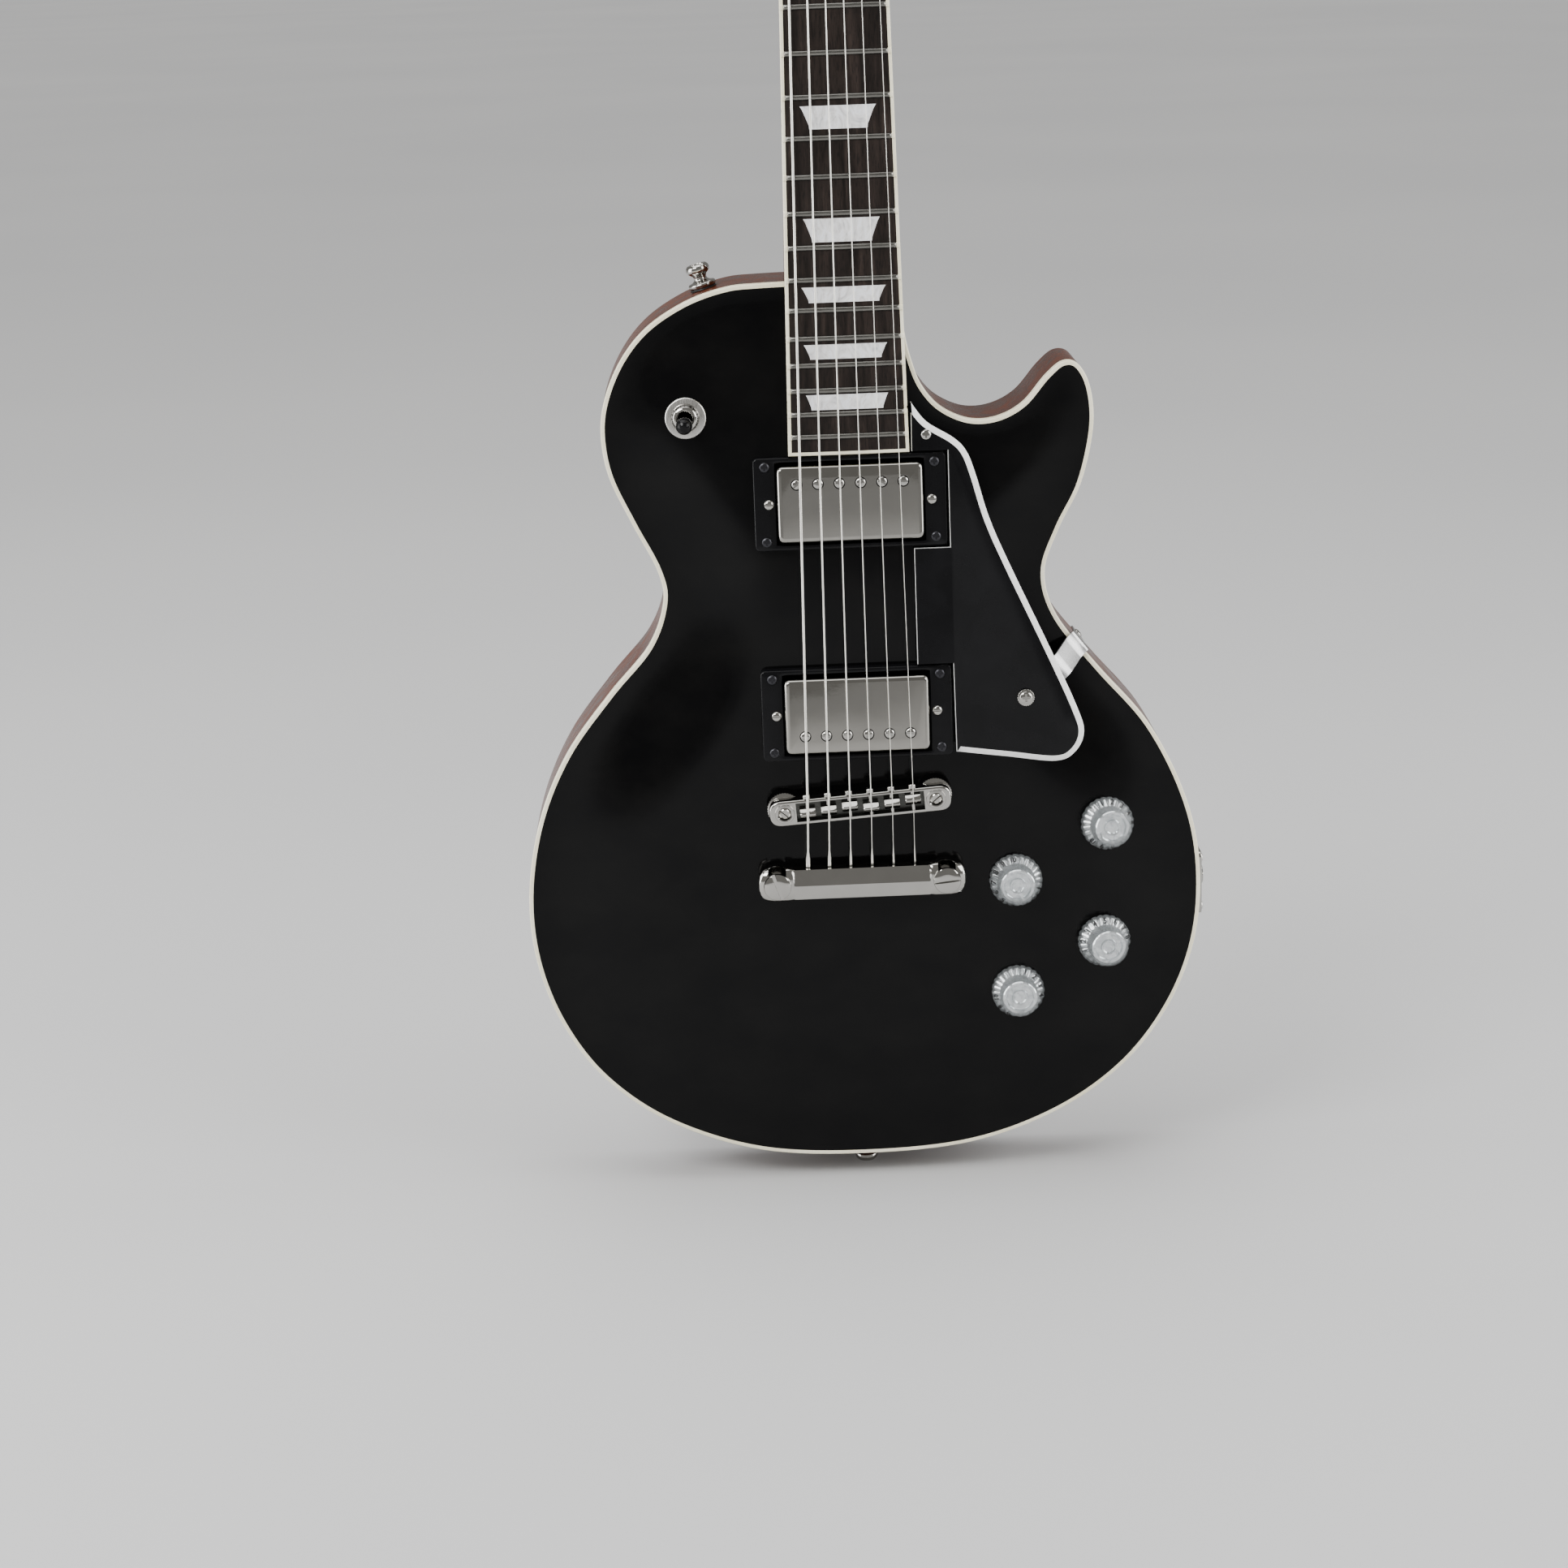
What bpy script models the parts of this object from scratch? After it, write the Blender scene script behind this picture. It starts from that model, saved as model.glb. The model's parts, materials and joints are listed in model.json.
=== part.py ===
"""Single-cutaway solid-body electric guitar.

Run with: blender --background --python part.py

All lengths are in millimetres; the helpers turn them into metres. The guitar
stands upright: +Z runs from the end strap button to the headstock, the front
faces -Y, and +X is the treble (cutaway) side. The origin is the flat outer
face of the end strap button. Places on the body are given as (x, z), with z
measured from the saddle line.
"""
import math

import bmesh
import bpy
import numpy as np
from mathutils import Matrix, Vector
from mathutils.geometry import delaunay_2d_cdt

MM = 0.001
GAP = 0.3                   # clearance between neighbouring parts
FACING = (math.radians(90), 0, 0)       # turns local Z to face the player

# ---------------------------------------------------------------- body
SADDLE_Z = 203.0            # saddle line above the end strap button's face
RIM_Y = -24.0               # front plane of the rim
BACK_Y = 24.0
CAP_Y = -11.5               # glue line between the back and the carved cap
BINDING_WIDTH = 2.0
BINDING_DEPTH = 5.0
ARCH_HEIGHT = 12.0          # crown of the carved cap above the rim
ARCH_START = 4.0            # the flat strip along the rim
ARCH_REACH = 62.0           # distance from the rim at which the crown is level
ARCH_GRID = 13.0            # spacing of the cap's surface points
HEEL_Z = 247.5              # where the neck leaves the body
BODY_OUTLINE = (
    (-40, 247.1), (-55.8, 245.8), (-74.5, 239.8), (-93, 228.5), (-106, 213.5),
    (-114.5, 195), (-117, 178), (-114, 158), (-104, 135), (-93, 112), (-91, 96), (-99, 75),
    (-119, 52), (-141, 23), (-156, -10), (-163.2, -47), (-161.4, -82), (-150.4, -115.7),
    (-130, -146), (-98, -170.5), (-53, -187), (0, -191), (53, -187), (97, -171.5),
    (131, -147), (154, -115), (166, -80), (167.5, -42), (160, -8), (143, 27), (119, 56),
    (99, 82), (93, 104), (100, 125), (111, 147), (117, 173), (116, 192), (110.5, 203.5),
    (103, 205.3), (94.6, 198.8), (83.7, 186.4), (71.2, 180.1), (57.9, 179.7), (44.7, 186),
    (36.1, 196.2), (31.5, 208), (28.5, 221), (27.5, 235), (26, 243.5), (19, 247.5),
    (-12, 247.5),
)
OUTLINE_STEPS = 2
CONTROL_CAVITY_POINTS = ((60, -45), (76, -10), (105, 2), (131, -10), (137, -50),
                         (131, -90), (110, -115), (80, -121), (58, -101))
SWITCH_CAVITY_RADIUS = 19.0
COVER_THICKNESS = 2.0

# ---------------------------------------------------------------- neck
SCALE_LENGTH = 628.65
FRET_COUNT = 22
NECK_ANGLE = math.radians(4.5)
NUT_WIDTH = 43.0
BOARD_LENGTH = 461.0
BOARD_END_WIDTH = 57.2
BOARD_THICKNESS = 6.0
BOARD_RADIUS = 305.0
BOARD_END_RISE = 13.0       # board surface above the rim plane, at the board's end
BOARD_BINDING = 1.6
FRET_WIDTH = 2.6
FRET_HEIGHT = 1.1
NUT_THICKNESS = 5.0
TENON_WIDTH = 38.0
TENON_END_Z = 170.5
TENON_FLOOR_Y = 8.0
HEEL_DEPTH = 50.0           # below the board's surface
NECK_PROFILE = (            # distance from the heel, depth, squareness
    (14, 47.5, 4.5), (28, 39, 3.4), (42, 30, 2.7), (58, 25, 2.3), (90, 23.2, 2.1),
    (200, 22.5, 2.1), (300, 21.6, 2.1), (376, 20.8, 2.2),
)
HEAD_TRANSITION = (         # distance from the saddle line, top, depth, squareness
    (636, 6.15, 21.0, 2.4), (646, 8.8, 23.0, 2.8), (662, 13.0, 25.8, 3.2),
)
ROD_START, ROD_END = 205.0, 652.0
ROD_DEPTH = 11.2
ROD_CHANNEL = 6.8
NUT_RISE = 1.7              # above the board's surface
SLOT_HEIGHT = 0.7
HEAD_ANGLE = math.radians(14.0)
HEAD_THICKNESS = 14.0
VENEER_THICKNESS = 1.5
HEAD_HALF_OUTLINE = (
    (21.5, 0), (22.5, 8), (28, 20), (35, 34), (37, 60), (38.5, 100), (40.5, 140),
    (40, 160), (34, 174), (18, 181), (0, 183),
)
BOARD_END_S = SCALE_LENGTH - BOARD_LENGTH
NECK_ORIGIN_Y = RIM_Y - BOARD_END_RISE - BOARD_END_S * math.sin(NECK_ANGLE)

# ---------------------------------------------------------------- fittings
PICKUPS = {"neck": 144.3, "bridge": 42.8}
RING_RISES = {"neck": 12.4, "bridge": 19.5}         # heights above the rim plane
COVER_RISES = {"neck": 15.0, "bridge": 23.2}
POLE_SIDES = {"neck": 1, "bridge": -1}
POLE_OFFSET = 9.5
COVER_SIZE = (69.5, 36.5)
RING_SIZE = (91.5, 44.0)
CAVITY_FLOOR_Y = 3.0
POLE_SPACING = 10.1
STRING_DIAMETERS = (1.17, 0.91, 0.66, 0.46, 0.35, 0.28)
SADDLE_SPREAD = 51.0
NUT_SPREAD = 35.5
TAIL_SPREAD = 52.0
SADDLE_CREST = 29.6         # height of the middle saddles above the rim plane
BRIDGE_SLANT = math.radians(3.6)
BRIDGE_POST_SPACING = 73.2
BRIDGE_Z = -1.6             # middle of the bridge
BRIDGE_TOP = 26.8           # heights above the rim plane
BRIDGE_BASE = 19.0
POST_STUD_RADIUS = 3.0
STUD_HOLE_FLOOR_Y = 6.0
TAILPIECE_Z = -41.0
TAILPIECE_STUD_SPACING = 82.4
TAILPIECE_RISE = 19.6       # height of the tailpiece's axis above the rim plane
BUSHING_RADIUS = 5.6
STUD_WAIST_RADIUS = 4.0
GUARD_DEPTH = 1.0           # below the board's surface
GUARD_THICKNESS = 2.3
BRACKET_PLACE = (108.7, 69.3)
BRACKET_OUTWARD = (0.79, 0.61)
KNOBS = {
    "bass_side_upper": (75.5, -45.6), "treble_side_upper": (120.6, -19.3),
    "bass_side_lower": (75.7, -102.8), "treble_side_lower": (118.5, -78.9),
}
KNOB_RADIUS = 13.0
KNOB_HEIGHT = 14.5
KNOB_CLEARANCE = 0.8        # between the skirt and the cap
KNOB_LEAN = 0.5             # share of the cap's slope that the pots follow
SHAFT_RADIUS = 3.0
SWITCH_PLACE = (-76.4, 186.0)
SWITCH_REST_TILT = math.radians(12.0)
SWITCH_BUSH_RADIUS = 5.8
JACK_Z = -58.0
JACK_FACE_X = 168.0
JACK_HOLE_RADIUS = 10.5
JACK_BORE_RADIUS = 3.4
SHOULDER_BUTTON = (-65.5, 243.2)
SHOULDER_BUTTON_LEAN = math.radians(15.0)
BUTTON_LENGTH = 12.0

# ---------------------------------------------------------------- tuners
TUNER_ROWS = (42.0, 88.0, 134.0)
TUNER_X = (25.5, 27.0, 28.5)
POST_RADIUS = 3.0
POST_RISE = 15.0
GEAR_RADIUS = 5.4
WORM_RADIUS = 2.2
WORM_OFFSET = 8.0
SHAFT_LENGTH = 24.0
HOUSING_FRONT = VENEER_THICKNESS + HEAD_THICKNESS + 2 * GAP
GEAR_FRONT = HOUSING_FRONT + 2.5

SATIN_CHROME = ((0.72, 0.72, 0.74), 0.22, 1.0)
BLACK_LACQUER = ((0.012, 0.012, 0.014), 0.12, 0.0)
MAHOGANY = ((0.075, 0.026, 0.012), 0.3, 0.0)
CREAM = ((0.83, 0.79, 0.66), 0.35, 0.0)
BLACK_PLASTIC = ((0.02, 0.02, 0.02), 0.35, 0.0)


# ---------------------------------------------------------------- helpers
def clear_scene():
    for thing in list(bpy.data.objects):
        bpy.data.objects.remove(thing, do_unlink=True)


def make_collection(name):
    group = bpy.data.collections.new(name)
    bpy.context.scene.collection.children.link(group)
    return group


def material(name, finish):
    """A Principled material from (colour, roughness, metallic)."""
    colour, roughness, metallic = finish
    result = bpy.data.materials.new(name)
    result.use_nodes = True
    shader = result.node_tree.nodes["Principled BSDF"]
    shader.inputs["Base Color"].default_value = (*colour, 1.0)
    shader.inputs["Roughness"].default_value = roughness
    shader.inputs["Metallic"].default_value = metallic
    result.diffuse_color = (*colour, 1.0)
    return result


def empty(name, place, rotation=(0, 0, 0), parent=None):
    frame = bpy.data.objects.new(name, None)
    frame.location = Vector(place) * MM
    frame.rotation_euler = rotation
    frame.parent = parent
    PARTS.objects.link(frame)
    return frame


def add_object(name, mesh, finish=None, parent=None, place=(0, 0, 0), rotation=(0, 0, 0)):
    """Links a mesh whose coordinates are metres; without a finish it is a cutter."""
    thing = bpy.data.objects.new(name, mesh)
    thing.location = Vector(place) * MM
    thing.rotation_euler = rotation
    thing.parent = parent
    if finish is None:
        CUTTERS.objects.link(thing)
        thing.hide_render = True
        thing.display_type = "WIRE"
    else:
        PARTS.objects.link(thing)
        mesh.materials.append(material(name, finish))
    return thing


def mesh_from_bmesh(name, bm, smooth_angle=None):
    bmesh.ops.recalc_face_normals(bm, faces=bm.faces)
    mesh = bpy.data.meshes.new(name)
    bm.to_mesh(mesh)
    bm.free()
    if smooth_angle:
        mesh.shade_smooth()
        mesh.set_sharp_from_angle(angle=math.radians(smooth_angle))
    return mesh


def box_mesh(name, low, high):
    bm = bmesh.new()
    bmesh.ops.create_cube(bm, size=1.0)
    size = (Vector(high) - Vector(low)) * MM
    centre = (Vector(high) + Vector(low)) * MM / 2
    bmesh.ops.scale(bm, verts=bm.verts, vec=size)
    bmesh.ops.translate(bm, verts=bm.verts, vec=centre)
    return mesh_from_bmesh(name, bm)


def rod_mesh(name, radius, start, end, sides=12):
    """A cylinder from start to end."""
    start, end = Vector(start) * MM, Vector(end) * MM
    span = end - start
    bm = bmesh.new()
    bmesh.ops.create_cone(bm, cap_ends=True, segments=sides, radius1=radius * MM,
                          radius2=radius * MM, depth=span.length)
    turn = span.to_track_quat("Z", "Y").to_matrix().to_4x4()
    bmesh.ops.transform(bm, verts=bm.verts, matrix=Matrix.Translation((start + end) / 2) @ turn)
    return mesh_from_bmesh(name, bm, smooth_angle=40)


def turned_object(name, profile, finish, parent=None, place=(0, 0, 0), rotation=(0, 0, 0),
                  sides=24, bored=False):
    """A turned piece about its local Z; the profile runs down the outer side.

    A bored piece's profile is closed up again along its bore.
    """
    bm = bmesh.new()
    points = [bm.verts.new((radius * MM, 0, height * MM)) for radius, height in profile]
    for first, second in zip(points, points[1:]):
        bm.edges.new((first, second))
    if bored:
        bm.edges.new((points[-1], points[0]))
    mesh = bpy.data.meshes.new(name)
    bm.to_mesh(mesh)
    bm.free()
    mesh.shade_smooth()
    thing = add_object(name, mesh, finish, parent, place, rotation)
    screw = thing.modifiers.new("Turn", "SCREW")
    screw.steps = screw.render_steps = sides
    screw.use_merge_vertices = True
    screw.merge_threshold = 0.00001
    return thing


def flat_curve(name, loops, thickness):
    """A filled 2D curve from outer and hole loops, thickness along its local Z."""
    curve = bpy.data.curves.new(name, "CURVE")
    curve.dimensions = "2D"
    curve.fill_mode = "BOTH"
    curve.extrude = thickness * MM / 2
    curve.render_resolution_u = 0
    for loop in loops:
        spline = curve.splines.new("POLY")
        spline.points.add(len(loop) - 1)
        for point, (x, y) in zip(spline.points, loop):
            point.co = (x * MM, y * MM, 0, 1)
        spline.use_cyclic_u = True
    return curve


def curve_to_mesh(curve):
    """The curve's evaluated mesh with its caps welded; the curve is removed."""
    holder = bpy.data.objects.new("curve_holder", curve)
    bpy.context.scene.collection.objects.link(holder)
    bpy.context.view_layer.update()
    evaluated = holder.evaluated_get(bpy.context.evaluated_depsgraph_get())
    mesh = bpy.data.meshes.new_from_object(evaluated)
    bpy.data.objects.remove(holder, do_unlink=True)
    bpy.data.curves.remove(curve)
    bm = bmesh.new()
    bm.from_mesh(mesh)
    bmesh.ops.remove_doubles(bm, verts=bm.verts, dist=0.000001)
    bmesh.ops.recalc_face_normals(bm, faces=bm.faces)
    bm.to_mesh(mesh)
    bm.free()
    return mesh


def plate_mesh(name, loops, front_y, back_y):
    """A flat plate in the XZ plane, between two depths."""
    mesh = curve_to_mesh(flat_curve(name, loops, back_y - front_y))
    mesh.transform(Matrix.Translation((0, (front_y + back_y) * MM / 2, 0))
                   @ Matrix.Rotation(math.radians(90), 4, "X"))
    return mesh


def merged(name, meshes):
    """One mesh of several separate bodies, for use as a cutter or a joined piece."""
    bm = bmesh.new()
    for mesh in meshes:
        bm.from_mesh(mesh)
        bpy.data.meshes.remove(mesh)
    result = bpy.data.meshes.new(name)
    bm.to_mesh(result)
    bm.free()
    return result


def loft_mesh(name, sections, smooth_angle=35):
    """Joins equal closed sections of (x, y, z) points, and caps both ends."""
    bm = bmesh.new()
    rings = [[bm.verts.new(Vector(point) * MM) for point in section] for section in sections]
    count = len(rings[0])
    for first, second in zip(rings, rings[1:]):
        for i in range(count):
            j = (i + 1) % count
            bm.faces.new((first[i], first[j], second[j], second[i]))
    bm.faces.new(rings[0])
    bm.faces.new(rings[-1])
    return mesh_from_bmesh(name, bm, smooth_angle)


def hoop_mesh(name, loops, smooth_angle=35):
    """A closed hoop: equal closed loops of points, each joined to the next, last to first."""
    bm = bmesh.new()
    rings = [[bm.verts.new(Vector(point) * MM) for point in loop] for loop in loops]
    for first, second in zip(rings, rings[1:] + rings[:1]):
        for i in range(len(first)):
            j = (i + 1) % len(first)
            bm.faces.new((first[i], first[j], second[j], second[i]))
    return mesh_from_bmesh(name, bm, smooth_angle)


def bevel(thing, width, segments=2, angle=35):
    modifier = thing.modifiers.new("Edges", "BEVEL")
    modifier.width = width * MM
    modifier.segments = segments
    modifier.limit_method = "ANGLE"
    modifier.angle_limit = math.radians(angle)


def boolean(thing, mesh, operation="DIFFERENCE", frame=None):
    """Cuts or joins a mesh that is modelled in the given frame, or in the world."""
    tool = add_object(thing.name + "_tool", mesh, None, frame)
    modifier = thing.modifiers.new(operation.title(), "BOOLEAN")
    modifier.operation = operation
    modifier.object = tool


def catmull_rom(points, steps, closed=False):
    """A smooth curve through points, with the given number of steps in each span."""
    points = [np.array(point, float) for point in points]
    count = len(points)
    result = []
    for i in range(count if closed else count - 1):
        if closed:
            a, b, c, d = (points[(i + k) % count] for k in (-1, 0, 1, 2))
        else:
            a, b, c, d = (points[min(max(i + k, 0), count - 1)] for k in (-1, 0, 1, 2))
        for step in range(steps):
            t = step / steps
            result.append(0.5 * (2 * b + (c - a) * t + (2 * a - 5 * b + 4 * c - d) * t ** 2
                                 + (3 * b - a - 3 * c + d) * t ** 3))
    if not closed:
        result.append(points[-1])
    return np.array(result)


def inset(loop, distance):
    """Moves a closed loop inward along its normals, by a distance."""
    following, previous = np.roll(loop, -1, axis=0), np.roll(loop, 1, axis=0)
    tangent = following - previous
    tangent /= np.linalg.norm(tangent, axis=1)[:, None]
    normal = np.stack([-tangent[:, 1], tangent[:, 0]], axis=1)
    area = np.sum(loop[:, 0] * following[:, 1] - following[:, 0] * loop[:, 1])
    return loop + normal * distance * (1 if area > 0 else -1)


def rounded_rectangle(width, height, radius, steps=3, centre=(0, 0)):
    loop = []
    for corner, (sx, sy) in enumerate(((1, 1), (-1, 1), (-1, -1), (1, -1))):
        for step in range(steps + 1):
            angle = math.radians(90) * (corner + step / steps)
            loop.append((centre[0] + sx * (width / 2 - radius) + radius * math.cos(angle),
                         centre[1] + sy * (height / 2 - radius) + radius * math.sin(angle)))
    return loop


def ring(radius, centre=(0, 0), sides=20):
    turns = [2 * math.pi * i / sides for i in range(sides)]
    return [(centre[0] + radius * math.cos(t), centre[1] + radius * math.sin(t)) for t in turns]


# ---------------------------------------------------------------- shared geometry
OUTLINE = catmull_rom(BODY_OUTLINE, OUTLINE_STEPS, closed=True)
FINE_OUTLINE = catmull_rom(BODY_OUTLINE, 12, closed=True)
CONTROL_CAVITY = catmull_rom(CONTROL_CAVITY_POINTS, 3, closed=True)


def world_loop(loop):
    return [(x, z + SADDLE_Z) for x, z in loop]


def rim_distance(x, z):
    """A smooth distance from the rim: a sum over the outline that has no creases."""
    step = np.linalg.norm(np.roll(FINE_OUTLINE, -1, axis=0) - FINE_OUTLINE, axis=1)
    square = (FINE_OUTLINE[:, 0] - x) ** 2 + (FINE_OUTLINE[:, 1] - z) ** 2
    return float((2 / math.pi * np.sum(step / square ** 2)) ** (-1 / 3))


def board_underside(z):
    """Height of the fingerboard's underside above the rim plane."""
    board_end = BOARD_END_S * math.cos(NECK_ANGLE)
    return BOARD_END_RISE - BOARD_THICKNESS + (board_end - z) * math.tan(NECK_ANGLE)


def smooth_min(first, second, width):
    overlap = max(width - abs(first - second), 0.0) / width
    return min(first, second) - overlap * overlap * width / 4


def arch(x, z):
    """Height of the carved cap above the rim plane; it is planed flat to seat the neck."""
    t = (rim_distance(x, z) - ARCH_START) / (ARCH_REACH - ARCH_START)
    t = min(max(t, 0.0), 1.0)
    dome = ARCH_HEIGHT * t * t * (3 - 2 * t)
    return max(smooth_min(dome, board_underside(z) - GAP, 2.0), 0.0)


def cap_slope(x, z):
    step = 4.0
    return ((arch(x + step, z) - arch(x - step, z)) / (2 * step),
            (arch(x, z + step) - arch(x, z - step)) / (2 * step))


def cap_lean(x, z, share=1.0):
    """Rotation that turns local Z outward, following a share of the cap's slope."""
    slope_x, slope_z = cap_slope(x, z)
    outward = Vector((-share * slope_x, -1.0, -share * slope_z)).normalized()
    return outward.to_track_quat("Z", "Y").to_euler()


def knob_lift(x, z):
    """Height of a knob's underside above the cap, so that its skirt clears the slope."""
    return KNOB_CLEARANCE + (1 - KNOB_LEAN) * KNOB_RADIUS * math.hypot(*cap_slope(x, z))


def on_cap(x, z, lift=0.0):
    """The world place on the cap's surface, lifted outward."""
    return (x, RIM_Y - arch(x, z) - lift, z + SADDLE_Z)


def board_width(s):
    """Board width at a distance from the saddle line, measured along the neck."""
    from_nut = SCALE_LENGTH - s
    return NUT_WIDTH + (BOARD_END_WIDTH - NUT_WIDTH) * from_nut / BOARD_LENGTH


def radius_drop(x):
    return x * x / (2 * BOARD_RADIUS)


def string_places(spread):
    return [spread * (i / 5 - 0.5) for i in range(6)]


def neck_y(y, z):
    """Depth below the board's surface plane of a body place (world y, z from the saddle)."""
    return (y - NECK_ORIGIN_Y) * math.cos(NECK_ANGLE) - z * math.sin(NECK_ANGLE)


def along_neck(z, depth):
    """Distance along the neck at which a given depth lies at height z."""
    return (z + depth * math.sin(NECK_ANGLE)) / math.cos(NECK_ANGLE)


# ---------------------------------------------------------------- body
def pocket_mesh(name, half_width, low_z, high_z, floor_y):
    return box_mesh(name, (-half_width, RIM_Y - 20, low_z + SADDLE_Z),
                    (half_width, floor_y, high_z + SADDLE_Z))


def cut_for_neck(thing):
    boolean(thing, pocket_mesh("neck_pocket", TENON_WIDTH / 2 + GAP, TENON_END_Z - GAP,
                               HEEL_Z + 8, TENON_FLOOR_Y + GAP))


def pickup_cavities():
    return merged("pickup_cavities", [
        pocket_mesh("cavity", COVER_SIZE[0] / 2 + 1, z - COVER_SIZE[1] / 2 - 2,
                    z + COVER_SIZE[1] / 2 + 2, CAVITY_FLOOR_Y) for z in PICKUPS.values()])


def stud_holes():
    """Blind holes for the bridge posts and the tailpiece bushings."""
    holes = []
    for side in (-1, 1):
        x, z = bridge_post_place(side)
        holes.append(rod_mesh("hole", POST_STUD_RADIUS + GAP, (x, RIM_Y - 20, z + SADDLE_Z),
                              (x, STUD_HOLE_FLOOR_Y, z + SADDLE_Z)))
        x, z = side * TAILPIECE_STUD_SPACING / 2, TAILPIECE_Z
        holes.append(rod_mesh("hole", BUSHING_RADIUS + GAP, (x, RIM_Y - 20, z + SADDLE_Z),
                              (x, STUD_HOLE_FLOOR_Y, z + SADDLE_Z)))
    return merged("stud_holes", holes)


def bridge_post_place(side):
    half = side * BRIDGE_POST_SPACING / 2
    return (half * math.cos(BRIDGE_SLANT), BRIDGE_Z + half * math.sin(BRIDGE_SLANT))


def body_ring(distance, y):
    return [(x, y, z + SADDLE_Z) for x, z in inset(OUTLINE, distance)]


def make_body_back():
    round_over = 3.0
    sections = [body_ring(0, CAP_Y + GAP), body_ring(0, BACK_Y - round_over),
                body_ring(0.3 * round_over, BACK_Y - 0.3 * round_over),
                body_ring(round_over, BACK_Y)]
    back = add_object("body_back", loft_mesh("body_back", sections), MAHOGANY)
    cut_for_neck(back)
    boolean(back, pickup_cavities())
    boolean(back, stud_holes())
    cavities = [plate_mesh("control_cavity", [world_loop(CONTROL_CAVITY)], CAP_Y - 1,
                           BACK_Y + 1),
                plate_mesh("switch_cavity", [world_loop(ring(SWITCH_CAVITY_RADIUS, SWITCH_PLACE))],
                           CAP_Y - 1, BACK_Y + 1)]
    boolean(back, merged("rear_cavities", cavities))
    recesses = [plate_mesh("recess", [world_loop(loop)], BACK_Y - COVER_THICKNESS - GAP,
                           BACK_Y + 1) for loop in cover_loops(GAP)]
    boolean(back, merged("cover_recesses", recesses))
    boolean(back, rod_mesh("jack_hole", JACK_HOLE_RADIUS, (JACK_FACE_X - 45, 0, JACK_Z + SADDLE_Z),
                           (JACK_FACE_X + 5, 0, JACK_Z + SADDLE_Z), sides=20))


def cover_loops(clearance):
    """Outlines of the two rear covers, grown by a clearance."""
    ledge = 5.0
    return (inset(CONTROL_CAVITY, -ledge - clearance),
            ring(SWITCH_CAVITY_RADIUS + ledge + clearance, SWITCH_PLACE))


def carved_cap_mesh():
    """The cap: a flat underside, a ledge for the binding and the arched top."""
    edge = inset(OUTLINE, BINDING_WIDTH + GAP)
    grid = [(x, z) for x in np.arange(-165, 170, ARCH_GRID) for z in np.arange(-190, 250, ARCH_GRID)
            if inside(edge, x, z) and nearest(edge, x, z) > ARCH_GRID * 0.5]
    points = [Vector(point) for point in list(edge) + grid]
    loop = [(i, (i + 1) % len(edge)) for i in range(len(edge))]
    places, _, faces, _, _, _ = delaunay_2d_cdt(points, loop, [], 1, 0.0001)
    bm = bmesh.new()
    crown = []
    for place in places:
        x, z = place
        on_edge = nearest(edge, x, z) < 0.01
        rise = 0.0 if on_edge else arch(x, z)
        crown.append(bm.verts.new(Vector((x, RIM_Y - rise, z + SADDLE_Z)) * MM))
    for face in faces:
        bm.faces.new([crown[i] for i in face])
    ledge_y = RIM_Y + BINDING_DEPTH + GAP
    rings = [crown[:len(edge)]]
    for distance, y in ((BINDING_WIDTH + GAP, ledge_y), (0, ledge_y), (0, CAP_Y)):
        rings.append([bm.verts.new(Vector(point) * MM) for point in body_ring(distance, y)])
    for first, second in zip(rings, rings[1:]):
        for i in range(len(edge)):
            j = (i + 1) % len(edge)
            bm.faces.new((first[i], first[j], second[j], second[i]))
    bm.faces.new(rings[-1])
    return mesh_from_bmesh("body_top", bm, smooth_angle=40)


def inside(loop, x, z):
    following = np.roll(loop, -1, axis=0)
    crosses = (loop[:, 1] > z) != (following[:, 1] > z)
    rise = np.where(crosses, following[:, 1] - loop[:, 1], 1.0)
    at_x = loop[:, 0] + (z - loop[:, 1]) / rise * (following[:, 0] - loop[:, 0])
    return bool(np.sum(crosses & (x < at_x)) % 2)


def nearest(loop, x, z):
    return float(np.min(np.hypot(loop[:, 0] - x, loop[:, 1] - z)))


def make_body_top():
    cap = add_object("body_top", carved_cap_mesh(), BLACK_LACQUER)
    cut_for_neck(cap)
    boolean(cap, pickup_cavities())
    boolean(cap, stud_holes())
    shafts = []
    for frame in KNOB_FRAMES.values():
        hole = rod_mesh("shaft_hole", SHAFT_RADIUS + 2 * GAP, (0, 0, 8), (0, 0, -40))
        hole.transform(frame.matrix_world)
        shafts.append(hole)
    switch_hole = rod_mesh("switch_hole", SWITCH_BUSH_RADIUS + GAP, (0, 0, 8), (0, 0, -40))
    switch_hole.transform(SWITCH_FRAME.matrix_world)
    boolean(cap, merged("control_holes", shafts + [switch_hole]))


def make_body_binding():
    front, back = RIM_Y, RIM_Y + BINDING_DEPTH
    chamfer = 0.6
    loops = [body_ring(0, back), body_ring(0, front + chamfer), body_ring(chamfer, front),
             body_ring(BINDING_WIDTH, front), body_ring(BINDING_WIDTH, back)]
    binding = add_object("body_binding", hoop_mesh("body_binding", loops), CREAM)
    cut_for_neck(binding)


def make_rear_covers():
    for name, loop in zip(("control_cover", "switch_cover"), cover_loops(0)):
        mesh = plate_mesh(name, [world_loop(loop)], BACK_Y - COVER_THICKNESS, BACK_Y)
        add_object(name, mesh, BLACK_PLASTIC)


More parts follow.
